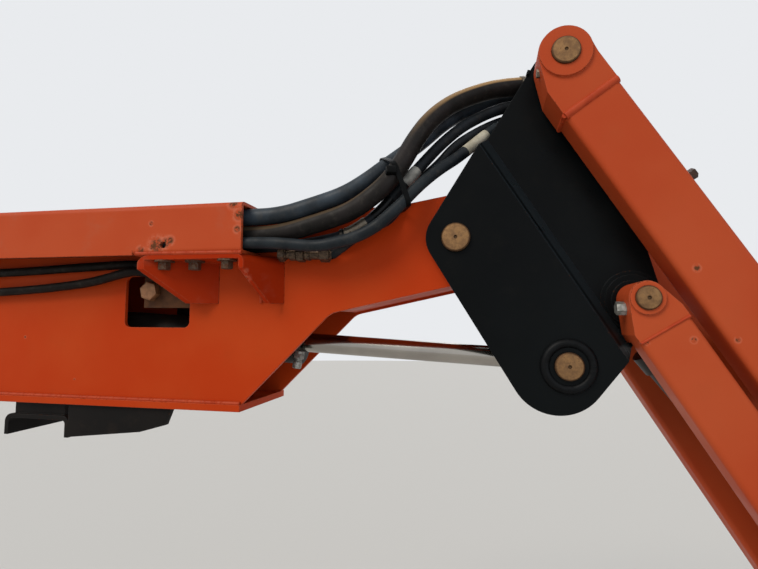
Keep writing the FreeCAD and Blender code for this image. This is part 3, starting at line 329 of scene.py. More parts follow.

# %% [markdown]
# ## Black enamel
#
# The knuckle bracket is newer paint: a deep black with a hint of blue where it mirrors the sky,
# and glossier than the orange. Black shows dust before anything else, so pale dust gathers in
# faint blotches.

# %% Black and brown paints
# The fold: a direction across it, a point on it, both in the frame, and its painted highlight.
FOLD = Vector((0.847, 0, 0.531)), Vector((0.9592, 0, 0.0255)), "#22282B"
black = sprayed_steel("black_enamel", "#090B0C", "#0D1011", 0.32, 0.02, peel=0.05,
                      dust="#25221D", dust_share=0.10, sheen=0.06, fold=FOLD)
dull_black = sprayed_steel("black_primer", "#12100F", "#1B1715", 0.5, 0.05, dust="#3E3229",
                           dust_share=0.25, sheen=0.1)
barrel_brown = sprayed_steel("dark_brown_enamel", "#211C18", "#2A241F", 0.42, 0.05,
                             dust="#4A3A2C", dust_share=0.3, sheen=0.14)
print("paints:", len(bpy.data.materials))

# %% [markdown]
# ## Bare metal
#
# Three bare metals show. Pins are plated bar whose faces have gone the colour of weak tea, with
# turned rings and a drilled centre. Cylinder rods are hard chrome, ground round and round. Bolts
# and hose ends are zinc under dust, some of them rusting.

# %% Recipe for pins
RING_STEP = 1.1  # mm between the lathe's rings


def pin_steel(name, centre, bar):
    """Plated bar: the pattern is centred on the pin, so the rings sit on its axis."""
    material, tree, shader, where = start_material(name)
    centred = add(tree, "ShaderNodeMapping", inputs={"Vector": where, "Location": -centre})
    flat = add(tree, "ShaderNodeVectorMath", {"operation": "MULTIPLY"},
               {0: centred.outputs["Vector"], 1: (1, 0, 1)})
    radius = add(tree, "ShaderNodeVectorMath", {"operation": "LENGTH"},
                 {0: flat.outputs["Vector"]}).outputs["Value"]
    tea = mix(tree, between(tree, noise(tree, where, 7, 4, 0.65), 0.35, 0.65), linear("#8A6843"),
              linear("#705337"))
    blotch = between(tree, noise(tree, where, 2.2, 5, 0.7), 0.56, 0.72)
    tea = mix(tree, blotch, tea, linear("#563E28"))
    rim = between(tree, radius, bar * 0.84 * MM, bar * 0.98 * MM)
    tea = mix(tree, math_node(tree, "MULTIPLY", rim, 0.75), tea, linear("#3D2718"))
    middle = between(tree, radius, 3.4 * MM, 1.6 * MM)
    tea = mix(tree, math_node(tree, "MULTIPLY", middle, 0.7), tea, linear("#31251B"))
    tree.links.new(tea, shader.inputs["Base Color"])
    shader.inputs["Metallic"].default_value = 0.75
    rough = between(tree, noise(tree, where, 5, 3), 0.3, 0.7, 0.42, 0.6)
    tree.links.new(rough, shader.inputs["Roughness"])
    turns = math_node(tree, "MULTIPLY", radius, 2 * math.pi / (RING_STEP * MM))
    rings = math_node(tree, "SINE", turns)
    tree.links.new(relief(tree, rings, 0.12, 0.15), shader.inputs["Normal"])
    return material


# %% Chrome, zinc and rusted steel
def plain_metal(name, colour, second, rough, size_mm, metallic=1.0, rust=None, rust_share=0.5):
    """A metal whose colour drifts between two tones, with rust blooming through it if asked."""
    material, tree, shader, where = start_material(name)
    tone = drift(tree, where, size_mm, colour, second, 0.65)
    shader.inputs["Metallic"].default_value = metallic
    low, high = rough
    if rust:
        shift = rust_share * 0.3
        bloom = between(tree, noise(tree, where, size_mm * 0.6, 5, 0.7), 0.62 - shift, 0.74 - shift)
        tone = mix(tree, bloom, tone, linear(rust))
        roughness = between(tree, bloom, 0, 1, low, 0.85)
    else:
        roughness = between(tree, noise(tree, where, size_mm * 2, 3), 0.3, 0.7, low, high)
    tree.links.new(roughness, shader.inputs["Roughness"])
    tree.links.new(tone, shader.inputs["Base Color"])
    grain = noise(tree, where, size_mm * 0.3, 3)
    tree.links.new(relief(tree, grain, 0.15, 0.2), shader.inputs["Normal"])
    return material


chrome = plain_metal("hard_chrome", "#A8A39B", "#9B968F", (0.14, 0.2), 60)
bright_zinc = plain_metal("bright_zinc", "#A6A6A0", "#7C7C75", (0.3, 0.45), 4, 0.6)
dusty_zinc = plain_metal("dusty_zinc", "#786F62", "#5F574B", (0.42, 0.6), 9, 0.7, "#4C3A2A", 0.3)
dark_rust = plain_metal("dark_rusted_bolt", "#41291C", "#311F16", (0.55, 0.75), 4, 0.4)
brown_zinc = plain_metal("dirty_zinc", "#5D4A38", "#443528", (0.4, 0.65), 5, 0.6, "#2E2119", 0.4)
rusty_bolt = plain_metal("rusted_bolt", "#5F4D3A", "#483A31", (0.5, 0.7), 5, 0.5, "#5B3520", 0.6)
tea_bolt = plain_metal("passivated_bolt", "#956846", "#7A5234", (0.45, 0.6), 9, 0.4, "#6B4630",
                       0.1)
oily_steel = plain_metal("oily_steel", "#312E2B", "#252321", (0.35, 0.55), 12, 0.8)
print("paints and metals:", len(bpy.data.materials))

# %% [markdown]
# ## Rubber and plastic
#
# Hydraulic hose has a wrapped cover: the imprint of the curing cloth leaves a faint diagonal
# weave, about 1 mm a step, which is drawn at 2.5 mm here so that it can be seen. Its UV map runs
# along and around the hose, so the weave follows the bends. One hose's top is painted a pale tan,
# a painted highlight of sunlight, and another hose is tinted blue, a painted sheen of the sky.

# %% Recipe for hose covers
WEAVE_STEP = 2.5
WAVE_TURN = 6.28  # the texture counts one wave as a turn in radians


def hose_cover(name, colour, faded, sheen, sunlit_top=None):
    """Wrapped rubber, with a painted sunlit band where it looks up past the main pivot if asked."""
    material, tree, shader, where = start_material(name)
    shader.inputs["Specular IOR Level"].default_value = sheen
    tone = drift(tree, where, 30, colour, faded)
    if sunlit_top:
        # Painted sunlight: the hose's top turns pale tan, more so past the main pivot.
        normal = add(tree, "ShaderNodeNewGeometry").outputs["Normal"]
        up = dot(tree, normal, Vector((0.25, -0.1, 1)).normalized())
        along = add(tree, "ShaderNodeSeparateXYZ", inputs={"Vector": where}).outputs["X"]
        sunny = between(tree, along, PIVOT.x - 110 * MM, PIVOT.x + 60 * MM, 0.15, 1.0)
        share = math_node(tree, "MULTIPLY", between(tree, up, 0.42, 0.62), sunny)
        tone = mix(tree, share, tone, linear(sunlit_top))
    dusty = between(tree, noise(tree, where, 12, 5, 0.7), 0.5, 0.75, 0, 0.22)
    tone = mix(tree, dusty, tone, linear("#57524A"))
    tree.links.new(tone, shader.inputs["Base Color"])
    rough = between(tree, noise(tree, where, 20, 3), 0.3, 0.7, 0.42, 0.6)
    tree.links.new(rough, shader.inputs["Roughness"])
    wrap = add(tree, "ShaderNodeUVMap", {"uv_map": "wrap"}).outputs["UV"]
    weave = add(tree, "ShaderNodeTexWave", {"bands_direction": "DIAGONAL"},
                {"Vector": wrap, "Scale": 1 / (WEAVE_STEP * MM) / WAVE_TURN, "Distortion": 0.6})
    tree.links.new(relief(tree, weave.outputs["Fac"], 0.14, 0.25), shader.inputs["Normal"])
    return material


# %% Hoses, nylon and labels
def moulded(name, colour, second, rough, sheen):
    """Moulded nylon or vinyl: one tone drifting into another, and a fine grain."""
    material, tree, shader, where = start_material(name)
    tree.links.new(drift(tree, where, 14, colour, second), shader.inputs["Base Color"])
    shader.inputs["Roughness"].default_value = rough
    shader.inputs["Specular IOR Level"].default_value = sheen
    grain = noise(tree, where, 1.2, 2)
    tree.links.new(relief(tree, grain, 0.1, 0.2), shader.inputs["Normal"])
    return material


charcoal_hose = hose_cover("wrapped_rubber", "#14171A", "#20252A", 0.14)
# Tinted blue and paler: a painted sheen of the sky on this hose.
sky_sheen_hose = hose_cover("wrapped_rubber_painted_sky_sheen", "#1F262C", "#333D46", 0.24)
grey_hose = hose_cover("wrapped_rubber_grey", "#1B2024", "#272D31", 0.14)
# Its pale tan top is painted sunlight.
sun_hose = hose_cover("wrapped_rubber_painted_sunlight", "#1A1816", "#252120", 0.12, "#A5845A")
brown_hose = hose_cover("wrapped_rubber_muddy", "#120E0B", "#1C1612", 0.08)
nylon = moulded("black_nylon", "#070808", "#0C0D0D", 0.42, 0.06)
block_plastic = moulded("dusty_polypropylene", "#5A3922", "#42291A", 0.6, 0.14)
black_weld = moulded("black_enamel_on_weld", "#08090A", "#0E1012", 0.45, 0.1)
orange_weld = moulded("orange_enamel_on_weld", "#B44524", "#A83A1C", 0.45, 0.14)
# A dark brown that paints the shade inside the boom, behind its window.
shade_brown = moulded("painted_shade_brown", "#2A1A10", "#1D120B", 0.7, 0.1)
blank_vinyl = moulded("blank_vinyl", "#A9A69D", "#7D7A73", 0.5, 0.25)
aged_tape = moulded("sun_aged_tape", "#C2BDAA", "#A8A28F", 0.6, 0.14)
black_vinyl = moulded("black_vinyl", "#08090A", "#0F1011", 0.32, 0.14)
print("materials:", len(bpy.data.materials))

# %% [markdown]
# ## Finish on the solid parts
#
# The frame's parts keep their shape and only get a finish. Which finish goes where is a short
# table of name beginnings, read from the top, and what no row names is orange. Each pin has a
# finish of its own, centred on it.

# %% Give each solid part its finish
FINISHES = [
    ("knuckle_", black), ("hose_bulkhead", black), ("boom_rest", dull_black),
    ("hose_channel", orange_channel), ("channel_shelf", orange_shelf_painted_shade),
    ("hose_clamp", block_plastic), ("boom", orange_boom), ("nose", orange_boom),
    ("hose_adapter", dusty_zinc), ("side_hose_elbows", dusty_zinc),
    ("side_hose_clamp", block_plastic), ("cable_tie", nylon),
    ("level_barrel", barrel_brown), ("level_gland", barrel_brown),
    ("jib_barrel", barrel_brown), ("jib_gland", barrel_brown),
    ("level_rod_eye", oily_steel), ("jib_rod_eye", oily_steel),
    ("level_rod", chrome), ("jib_rod", chrome),
]
MAIN_BAR, ARM_BAR, LINK_BAR = 19.05, 17.5, 14.3  # radii of the pins in mm
CYLINDER_X, CYLINDER_Z = 138.6, -166.1
PINS = {
    # part: its centre, and its bar's radius
    "main_pivot_pin": (PIVOT, MAIN_BAR),
    "cylinder_pin_ends": (place(CYLINDER_X, 0, CYLINDER_Z), ARM_BAR),
    "level_rear_pin": (LEVEL_PIN, MAIN_BAR),
    "jib_pin": (JIB_PIN, ARM_BAR),
    "jib_outer_pin": (OUTER_PIN, ARM_BAR),
    "link_pin_ends": (LINK_PIN, LINK_BAR),
    "link_outer_pin": (OUTER_LINK_PIN, LINK_BAR),
    "jib_barrel_pin": (BARREL_PIN, MAIN_BAR),
}
pin_finish = {name: pin_steel("tea_plated_" + name, *at) for name, at in PINS.items()}
for name, obj in frame["nodes"].items():
    finish = pin_finish.get(name)
    if finish is None:
        finish = next((m for start, m in FINISHES if name.startswith(start)), orange)
    obj.data.materials.clear()
    obj.data.materials.append(finish)
print("finishes given to", len(frame["nodes"]), "parts")

# %% [markdown]
# ## From a bmesh to a piece
#
# Each new piece is made in a bmesh, written to a mesh, and told which body carries it. Faces are
# shaded smooth except across sharp edges. The object stays at the origin, with its place in its
# mesh, so that patterns on object coordinates line up with the steel beside it.

# %% Piece maker
def finish_piece(name, bm, material, body, sharp=35):
    """Closes a bmesh into a piece with one finish, carried by one body."""
    bmesh.ops.remove_doubles(bm, verts=bm.verts, dist=0.005 * MM)
    bmesh.ops.recalc_face_normals(bm, faces=bm.faces)
    mesh = bpy.data.meshes.new(name)
    bm.to_mesh(mesh)
    bm.free()
    mesh.shade_smooth()
    mesh.set_sharp_from_angle(angle=math.radians(sharp))
    mesh.materials.append(material)
    obj = bpy.data.objects.new(name, mesh)
    bpy.context.scene.collection.objects.link(obj)
    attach(obj, body)
    return obj


def facing(at, axis):
    """A matrix whose Z axis points that way, at that place."""
    return Matrix.Translation(at) @ Vector(axis).to_track_quat("Z", "Y").to_matrix().to_4x4()


# %% [markdown]
# ## Hoses
#
# Five hoses leave the channel, rise over the main pivot and end in the bulkhead beside the jib
# pin. A hose is a fixed length of something stiff, so its line has no kinks: a NURBS curve takes
# given points and rounds them evenly. The points are the solid hoses' own, shifted a little where
# the eye sees the difference. Between the cable tie and the bulkhead a hose has to bend when the
# bracket turns; there the curve becomes a mesh that stays in the frame, carried by no body.

# %% Routes, from the main pivot in millimetres
# hose: its diameter, finish and slot, then its points
HOSES = {
    "hose_1": (26.0, sun_hose, "sun_hose",
               [(-768, -102.5, 8), (-650, -102, 8.5), (-520, -102.5, 8), (-395, -102, 8.5),
                (-300, -102.8, 7.8), (-243, -103.5, 8), (-182, -106, 23), (-141.4, -108, 34.5),
                (-112.5, -108, 52.8), (-88.1, -104, 74.9), (-70.5, -95.5, 104), (-55, -84, 137.7),
                (-34.6, -68, 172.4), (-4.8, -51, 200.5), (30.3, -36, 218.3), (66, -23, 230),
                (97, -14, 233)]),
    "hose_2": (24.0, sky_sheen_hose, "hose_rubber",
               [(-768, -106.5, 33.3), (-650, -107, 33.7), (-520, -106.5, 33.3), (-395, -107, 33.7),
                (-300, -106.5, 33.5), (-243, -104, 34), (-193.6, -101, 48), (-150.7, -96, 62.1),
                (-118.7, -88, 83.8), (-95.5, -77, 105), (-70.6, -64, 127.1), (-46.6, -49, 150.6),
                (-19.1, -32, 181.3), (11, -14.5, 203.5), (41, 1, 217), (69, 10, 224.5),
                (97, 16, 228.5)]),
    "hose_3": (16.0, grey_hose, "hose_rubber",
               [(-768, -120.5, -4), (-660, -121, -4.5), (-550, -120.5, -4), (-445, -121, -4.5),
                (-355, -120.5, -4), (-285, -120.5, -4.8), (-238, -120, -6),
                (-186.2, -119.5, -12.7), (-155.8, -119, -7.7), (-127.4, -118, -0.6),
                (-101.4, -116, 13.1), (-84.2, -113, 29.1), (-69.5, -108.5, 43.5),
                (-56, -101, 60.5), (-40, -91.5, 78.5), (-20.5, -79, 97.5),
                (1.7, -64, 115.5), (26, -45.5, 141), (50, -29.5, 165), (74, -20, 177),
                (97, -15, 184.5)]),
    "hose_4": (16.0, charcoal_hose, "hose_rubber",
               [(-768, -85, -6.5), (-660, -84.7, -7), (-550, -85, -6.5), (-445, -84.7, -7),
                (-355, -85, -6.5), (-285, -85, -6), (-235, -87, -6), (-189.5, -89.5, -1.4),
                (-151, -92.5, 5.5), (-121.4, -92.5, 21.2), (-98.3, -89.5, 41.1), (-81.8, -84, 64.1),
                (-63, -88, 82), (-46, -72, 107), (-25, -54, 137), (3, -39, 166.4),
                (28, -29.5, 183.5), (52, -22, 196), (75, -16, 203.5), (97, -12, 207.5)]),
    "hose_5": (13.0, charcoal_hose, "hose_rubber",
               [(-168, -96, -21), (-154, -98, -12), (-140, -103, -3), (-122, -104, 7),
                (-106, -100, 16), (-89, -90, 26), (-77, -82, 45), (-62, -73, 73),
                (-47.8, -62, 90), (-26, -52, 111), (-5.2, -44, 138), (19, -33, 157.5),
                (45, -18, 175.5), (72, -4, 189.5), (97, 8, 196)]),
    "side_hose_1": (13.5, brown_hose, "hose_rubber",
                    [(-766, -85, -38.5), (-690, -85.6, -36.5), (-600, -85, -32),
                     (-520, -85.4, -28.5), (-478, -86, -28), (-451, -86.2, -32),
                     (-430, -86, -40), (-413, -86, -47)]),
    "side_hose_2": (13.5, brown_hose, "hose_rubber",
                    [(-766, -85, -70), (-690, -86, -67), (-600, -88, -60), (-545, -92, -53.5),
                     (-492, -99, -42), (-466, -100, -39), (-447, -97, -44)]),
}
BULKHEAD_HOSES = [name for name in HOSES if name.startswith("hose_")]
print("hoses:", len(HOSES), "of them at the bulkhead:", len(BULKHEAD_HOSES))

# %% From a line to a mesh
STEPS_PER_POINT = 8
BEVEL_RESOLUTION = 10  # gives 4 + 2 x 10 = 24 sides


def curve_mesh(name, spline_type, points, radii, thickness):
    """A round bar along points, as a mesh whose UV map, in metres, runs along and around it."""
    curve = bpy.data.curves.new(name, "CURVE")
    curve.dimensions = "3D"
    curve.resolution_u = STEPS_PER_POINT
    curve.bevel_depth = thickness
    curve.bevel_resolution = BEVEL_RESOLUTION
    curve.use_fill_caps = True
    spline = curve.splines.new(spline_type)
    spline.points.add(len(points) - 1)
    for knot, point, radius in zip(spline.points, points, radii):
        knot.co = (*point, 1.0)
        knot.radius = radius
    if spline_type == "NURBS":
        spline.order_u = 3
        spline.use_endpoint_u = True
    carrier = bpy.data.objects.new(name, curve)
    mesh = bpy.data.meshes.new_from_object(carrier)
    bpy.data.objects.remove(carrier)
    bpy.data.curves.remove(curve)
    length = sum((Vector(b) - Vector(a)).length for a, b in zip(points, points[1:]))
    wrap = mesh.uv_layers[0] if mesh.uv_layers else mesh.uv_layers.new()
    wrap.name = "wrap"
    for corner in wrap.data:
        corner.uv = (corner.uv[0] * length, corner.uv[1] * 2 * math.pi * thickness)
    mesh.name = name
    mesh.materials.clear()
    mesh.shade_smooth()
    mesh.set_sharp_from_angle(angle=math.radians(40))
    return mesh


def route_line(points):
    """The smooth line of a hose, read back from its NURBS curve as points."""
    mesh = curve_mesh("line", "NURBS", points, [1] * len(points), 0)
    line = [v.co.copy() for v in mesh.vertices]
    bpy.data.meshes.remove(mesh)
    return line


def show(name, mesh, material):
    """Puts a mesh into the scene in one finish."""
    mesh.materials.append(material)
    obj = bpy.data.objects.new(name, mesh)
    bpy.context.scene.collection.objects.link(obj)
    return obj


def carry(obj, with_bend):
    """Long hoses stay put in the frame; what stays behind the tie rides the boom."""
    if with_bend:
        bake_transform(obj)
    else:
        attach(obj, "boom")


# %% Hoses as meshes
lines = {}
for name, (diameter, material, slot_name, route) in HOSES.items():
    points = [place(*p) for p in route]
    mesh = curve_mesh(name + "_cover", "NURBS", points, [1] * len(points), diameter / 2 * MM)
    hose = show(name + "_cover", mesh, material)
    carry(hose, not name.startswith("side"))
    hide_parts(name)
    lines[name] = route_line(points)
    print(name, "faces", len(mesh.polygons), "points on its line", len(lines[name]))

# %% [markdown]
# ## What sits on the hoses
#
# A crimped sleeve, a blank label and a strip of pale tape are all the same form: a slightly
# thicker tube that follows the hose for a while. Cutting the hose's own line between two places
# and giving it a list of radii makes each of them, and they bend with the hose for free.

# %% Sleeves along a hose
CUT_STEP = 2 * MM


def even_steps(line, step):
    """The same line with its points about a step apart."""
    dense = []
    for p, q in zip(line, line[1:]):
        count = max(1, int((q - p).length / step))
        dense += [p.lerp(q, k / count) for k in range(count)]
    return dense + [line[-1]]


def sleeve(name, hose, start_x, end_x, radius, material, lip=0.0):
    """A tube round a hose between two X in mm; a lip makes its ends stand a little prouder."""
    a, b = PIVOT.x + start_x * MM, PIVOT.x + end_x * MM
    line = [p for p in even_steps(lines[hose], CUT_STEP) if a <= p.x <= b]
    last = len(line) - 1
    radii = [1 + (lip if i in (0, 1, last - 1, last) else 0) for i in range(len(line))]
    radii[0] = radii[last] = 0.97
    obj = show(name, curve_mesh(name, "POLY", line, radii, radius * MM), material)
    carry(obj, True)
    print(name, "points", len(line))


sleeve("hose_4_crimp", "hose_4", -150, -118, 9.2, dusty_zinc, lip=0.05)
sleeve("hose_4_collar", "hose_4", -158, -151, 10.0, oily_steel)
sleeve("hose_4_label", "hose_4", -114, -86, 8.5, black_vinyl)
sleeve("hose_4_band", "hose_4", -69, -53, 8.6, blank_vinyl)
sleeve("hose_3_band", "hose_3", 10, 42, 8.15, aged_tape)

# %% [markdown]
# ## Hose ends
#
# Each hose ends in a pressed steel shell. The shell is turned, so a profile spun round its axis
# gives it. Nuts and bolt heads come with the next pieces: a hexagon is a circle of six points,
# extruded and with its corners bevelled off, as a real nut's are.

# %% Turned shapes and nuts
def turned(bm, profile, matrix, steps=40):
    """Spins (radius, height) points in mm round the matrix's Z axis."""
    verts = [bm.verts.new((r * MM, 0, h * MM)) for r, h in profile]
    edges = [bm.edges.new(pair) for pair in zip(verts, verts[1:])]
    made = bmesh.ops.spin(bm, geom=verts + edges, cent=(0, 0, 0), axis=(0, 0, 1),
                          angle=2 * math.pi, steps=steps, use_merge=True)
    new = set(verts) | {g for g in made["geom_last"] if isinstance(g, bmesh.types.BMVert)}
    todo = list(new)
    while todo:
        for edge in todo.pop().link_edges:
            for v in edge.verts:
                if v not in new:
                    new.add(v)
                    todo.append(v)
    bmesh.ops.transform(bm, matrix=matrix, verts=list(new))


def hexagon(bm, across, low, high, matrix, bevel=0.8):
    """A nut or bolt head, that many mm across its flats."""
    made = bmesh.ops.create_circle(bm, cap_ends=True, radius=across / math.sqrt(3) * MM,
                                   segments=6, matrix=matrix @ Matrix.Translation((0, 0, low * MM)))
    cap = made["verts"][0].link_faces[0]
    grown = bmesh.ops.extrude_face_region(bm, geom=[cap], use_keep_orig=True)
    top = [g for g in grown["geom"] if isinstance(g, bmesh.types.BMVert)]
    lift = matrix.to_3x3() @ Vector((0, 0, (high - low) * MM))
    bmesh.ops.translate(bm, vec=lift, verts=top)
    rim = [e for v in top for e in v.link_edges if e.other_vert(v) in top]
    bmesh.ops.bevel(bm, geom=list(set(rim)), offset=bevel * MM, offset_type="OFFSET",
                    affect="EDGES", segments=2, profile=0.5, material=-1)
    return lift


# %% Shells at the bulkhead
def hose_end(name):
    """The last two points of a hose's route, the end first."""
    route = HOSES[name][3]
    return place(*route[-1]), place(*route[-2])


for name in BULKHEAD_HOSES:
    end, before = hose_end(name)
    r = HOSES[name][0] / 2
    bm = bmesh.new()
    turned(bm, [(r - 0.5, -7.5), (r + 1.4, -7), (r + 1.9, -5), (r + 1.9, -2), (r + 1.3, -1),
                (r + 1.3, 0), (r + 1.9, 1), (r + 1.9, 6), (r + 1.2, 7), (r - 0.5, 7)],
           facing(end, end - before))
    finish_piece(name + "_shell", bm, dusty_zinc, "knuckle")
print("shells:", len(BULKHEAD_HOSES))

# %% [markdown]
# ## Adapter and elbows
#
# One hose starts at an adapter that lies on the shelf's end: a turned body with two hexagons and
# a union ring, all under the same brown dust. The two thin side hoses end in elbows that turn in
# through the boom's side.

# %% Adapter and elbows
bm = bmesh.new()
start, towards = place(-246, -97, -18.5), place(-168, -96.3, -20.5)
matrix = facing(start, towards - start)
turned(bm, [(3.5, 0), (7, 0), (8, 1.5), (8, 12), (6.5, 13), (6.5, 18), (9.2, 18.5), (9.2, 27),
            (7.6, 28), (7.6, 40), (8.6, 41), (8.6, 47), (7.2, 48), (7.2, 60), (8.2, 61), (8.2, 76),
            (6.6, 77.5), (6.6, 79)], matrix)
hexagon(bm, 18.5, 2, 10, matrix)
hexagon(bm, 20, 29, 39, matrix @ Matrix.Rotation(0.4, 4, "Z"))
hexagon(bm, 19, 62, 75, matrix @ Matrix.Rotation(0.2, 4, "Z"))
adapter = finish_piece("hose_5_adapter", bm, brown_zinc, "boom")
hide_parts("hose_adapter")

bm = bmesh.new()
for name in ("side_hose_1", "side_hose_2"):
    end, before = hose_end(name)
    ahead = (end - before).normalized()
    turned(bm, [(4, -9), (6.6, -9), (6.6, 2), (5, 3), (5, 9), (3, 9)], facing(end, ahead))
    hexagon(bm, 13, 2.5, 8, facing(end, ahead))
    corner = end + ahead * 10 * MM
    bmesh.ops.create_icosphere(bm, subdivisions=3, radius=5.2 * MM,
                               matrix=Matrix.Translation(corner))
    reach = BOOM_FACE - (corner - PIVOT).y / MM
    turned(bm, [(0.5, 0), (4.8, 0), (4.8, reach), (0.5, reach)], facing(corner, (0, 1, 0)))
elbows = finish_piece("side_hose_ends", bm, dusty_zinc, "boom")
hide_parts("side_hose_elbows")
print("adapter and elbows placed")

# %% [markdown]
# ## Bolts
#
# Three bolts hold the shelf from below, so their heads hang down on broad washers. A larger bolt
# holds the hose clamp inside the window, and two lock bolts keep the jib's pins from turning.
# A hexagon head is a six-sided disc with its corners chamfered and a shallow dished top.

# %% Bolts in their places
SHELF_UNDER = -27.6
WASHER_THICKNESS = 2.4
ARM_TOP = 30.7  # from an upper arm's line of pins to the bolt's seat


def bolt(name, at, axis, across, material, body, washer, height, spin=0):
    """A hexagon head standing off the surface at a place, on a washer if it has one."""
    bm = bmesh.new()
    matrix = facing(place(*at), axis) @ Matrix.Rotation(math.radians(spin), 4, "Z")
    base = 0.0
    if washer:
        base = WASHER_THICKNESS
        inner = across * 0.3
        turned(bm, [(inner, 0), (washer / 2, 0), (washer / 2, base), (inner, base)], matrix)
    chamfer = across * 0.07
    lift = hexagon(bm, across, base, base + height, matrix, chamfer)
    top = max(bm.faces, key=lambda face: face.calc_center_median().dot(lift))
    bmesh.ops.inset_region(bm, faces=[top], thickness=chamfer * MM, depth=-0.3 * MM)
    finish_piece(name, bm, material, body)


arm_face = JIB_PIN + jib_along * 210 * MM + jib_up * ARM_TOP * MM - PIVOT
BOLTS = [
    # name, place in mm, axis, across flats, finish, body, washer, height, turned by in degrees
    ("shelf_bolt_1", (-408, -122, SHELF_UNDER), (0, 0, -1), 15, rusty_bolt, "boom", 27, 11, 10),
    ("shelf_bolt_2", (-365, -114, SHELF_UNDER), (0, 0, -1), 15, rusty_bolt, "boom", 27, 11, 0),
    ("shelf_bolt_3", (-311, -122, SHELF_UNDER), (0, 0, -1), 15, rusty_bolt, "boom", 27, 11, 25),
    ("clamp_bolt", (-463, -71, -68), (0, -1, 0), 26, tea_bolt, "boom", 0, 11, 12),
    ("arm_lock_bolt", (112, -97, 210), (-1, 0, 0), 10, dusty_zinc, "upper_arm", 0, 7, 20),
    ("link_lock_bolt", (206, -95, -94), (-1, 0, 0), 14.5, bright_zinc, "lower_link", 0, 13, 8),
    ("plate_corner_bolt", (101, -50, 234), (-1, 0, 0.35), 9, nylon, "knuckle", 0, 4, 0),
    ("arm_top_bolt", (arm_face.x / MM, -92, arm_face.z / MM), jib_up, 12, dark_rust, "upper_arm",
     0, 15, 0),
]
for row in BOLTS:
    bolt(*row)
print("bolts:", len(BOLTS))

# %% [markdown]
# ## Shade plate and plug
#
# Behind the boom's window a dark brown plate closes the view: a sheet of painted shade for the
# boom's dark inside. The levelling cylinder's gland carries a bright plug. A block is a cube
# stretched to size, with its edges bevelled round.

# %% Plate and plug
def block(bm, matrix, size, bevel):
    """A block of that size in mm, centred on the matrix's place."""
    stretch = Matrix.Diagonal((*(Vector(size) * MM), 1))
    bmesh.ops.create_cube(bm, size=1, matrix=matrix @ stretch)
    bmesh.ops.bevel(bm, geom=bm.edges[:], offset=bevel * MM, offset_type="OFFSET",
                    affect="EDGES", segments=2, profile=0.5, material=-1)


# A sheet of painted shade: it darkens the boom's inside behind the window.
bm = bmesh.new()
block(bm, Matrix.Translation(place(-420, 51.5, -75)), (160, 3, 80), 0.8)
finish_piece("window_shade_plate", bm, shade_brown, "boom")

bm = bmesh.new()
matrix = facing(place(-243, -28, -183), (0.2, 0, 1))
turned(bm, [(0.5, 0), (6, 0), (6.8, 1), (6.8, 10), (5.4, 11), (5.4, 14), (7.2, 15), (7.2, 26),
            (6, 27), (0.5, 27)], matrix)
hexagon(bm, 15, 15.5, 23, matrix)
finish_piece("gland_plug", bm, bright_zinc, "level_barrel")
print("plate and plug placed")

# %% [markdown]
# ## Pin faces
#
# A pin's end isn't a sharp disc: the bar is turned down to a small chamfer, and the lathe's centre
# drill leaves a dimple. One turned face goes on the near end of each of the four big pins.

# %% Turned faces on the near pin ends
FACED_PINS = {"main_pivot_pin": "knuckle", "cylinder_pin_ends": "knuckle",
              "jib_pin": "upper_arm", "link_pin_ends": "lower_link"}
for name, body in FACED_PINS.items():
    centre, bar = PINS[name]
    near_end = min(v.co.y for v in frame["nodes"][name].data.vertices)
    bm = bmesh.new()
    turned(bm, [(bar - 0.1, -1), (bar - 0.1, 2.2), (bar - 1.6, 3.6), (bar * 0.55, 4.0), (2.2, 4.0),
                (1.2, 2.4), (0.05, 2.2)],
           facing(Vector((centre.x, near_end, centre.z)), (0, -1, 0)), steps=56)
    finish_piece(name + "_face", bm, pin_finish[name], body, sharp=30)
print("pin faces turned:", len(FACED_PINS))

# %% [markdown]
# ## Weld beads
# A weld is a row of overlapping ripples, one for each small step of the torch. The real ripples
# are about 2 mm apart. A bar along the seam whose radius swells and shrinks as it goes gives the
# same broken highlight, and a plain black or orange paint of its own covers it. The rolled lip of
# the channel's lower edge is such a bar too.

# %% Beads and the lines that they follow
RIPPLE = 2.4


def weld(name, path, radius, body, closed=False):
    """A rippled bead along points in mm, half sunk into the corner it fills."""
    points = [place(*p) for p in path]
    if closed:
        points.append(points[0])
    line = even_steps(points, RIPPLE / 2 * MM)
    ripple = 0.04 if radius > 5 else 0.12  # a thick bead is the smoother one
    radii = [1.0 - ripple * (i % 2) + random.uniform(-0.4, 0.4) * ripple for i in range(len(line))]
    bead_mesh = curve_mesh(name, "POLY", line, radii, radius * MM)
    if body == "knuckle":
        bead = show(name, bead_mesh, black_weld)
    else:
        bead = show(name, bead_mesh, orange_weld)
    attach(bead, body)


def ring(x, z, y, radius, count=40):
    """Points on a circle that faces sideways, in mm."""
    turns = [k * 2 * math.pi / count for k in range(count)]
    return [(x + radius * math.cos(a), y, z + radius * math.sin(a)) for a in turns]


def on_jib(pin, along, up, y):
    """A place along and above an arm's or a link's line from its pin, in mm from the pivot."""
    at = pin + (jib_along * along + jib_up * up) * MM - PIVOT
    return (at.x / MM, y, at.z / MM)


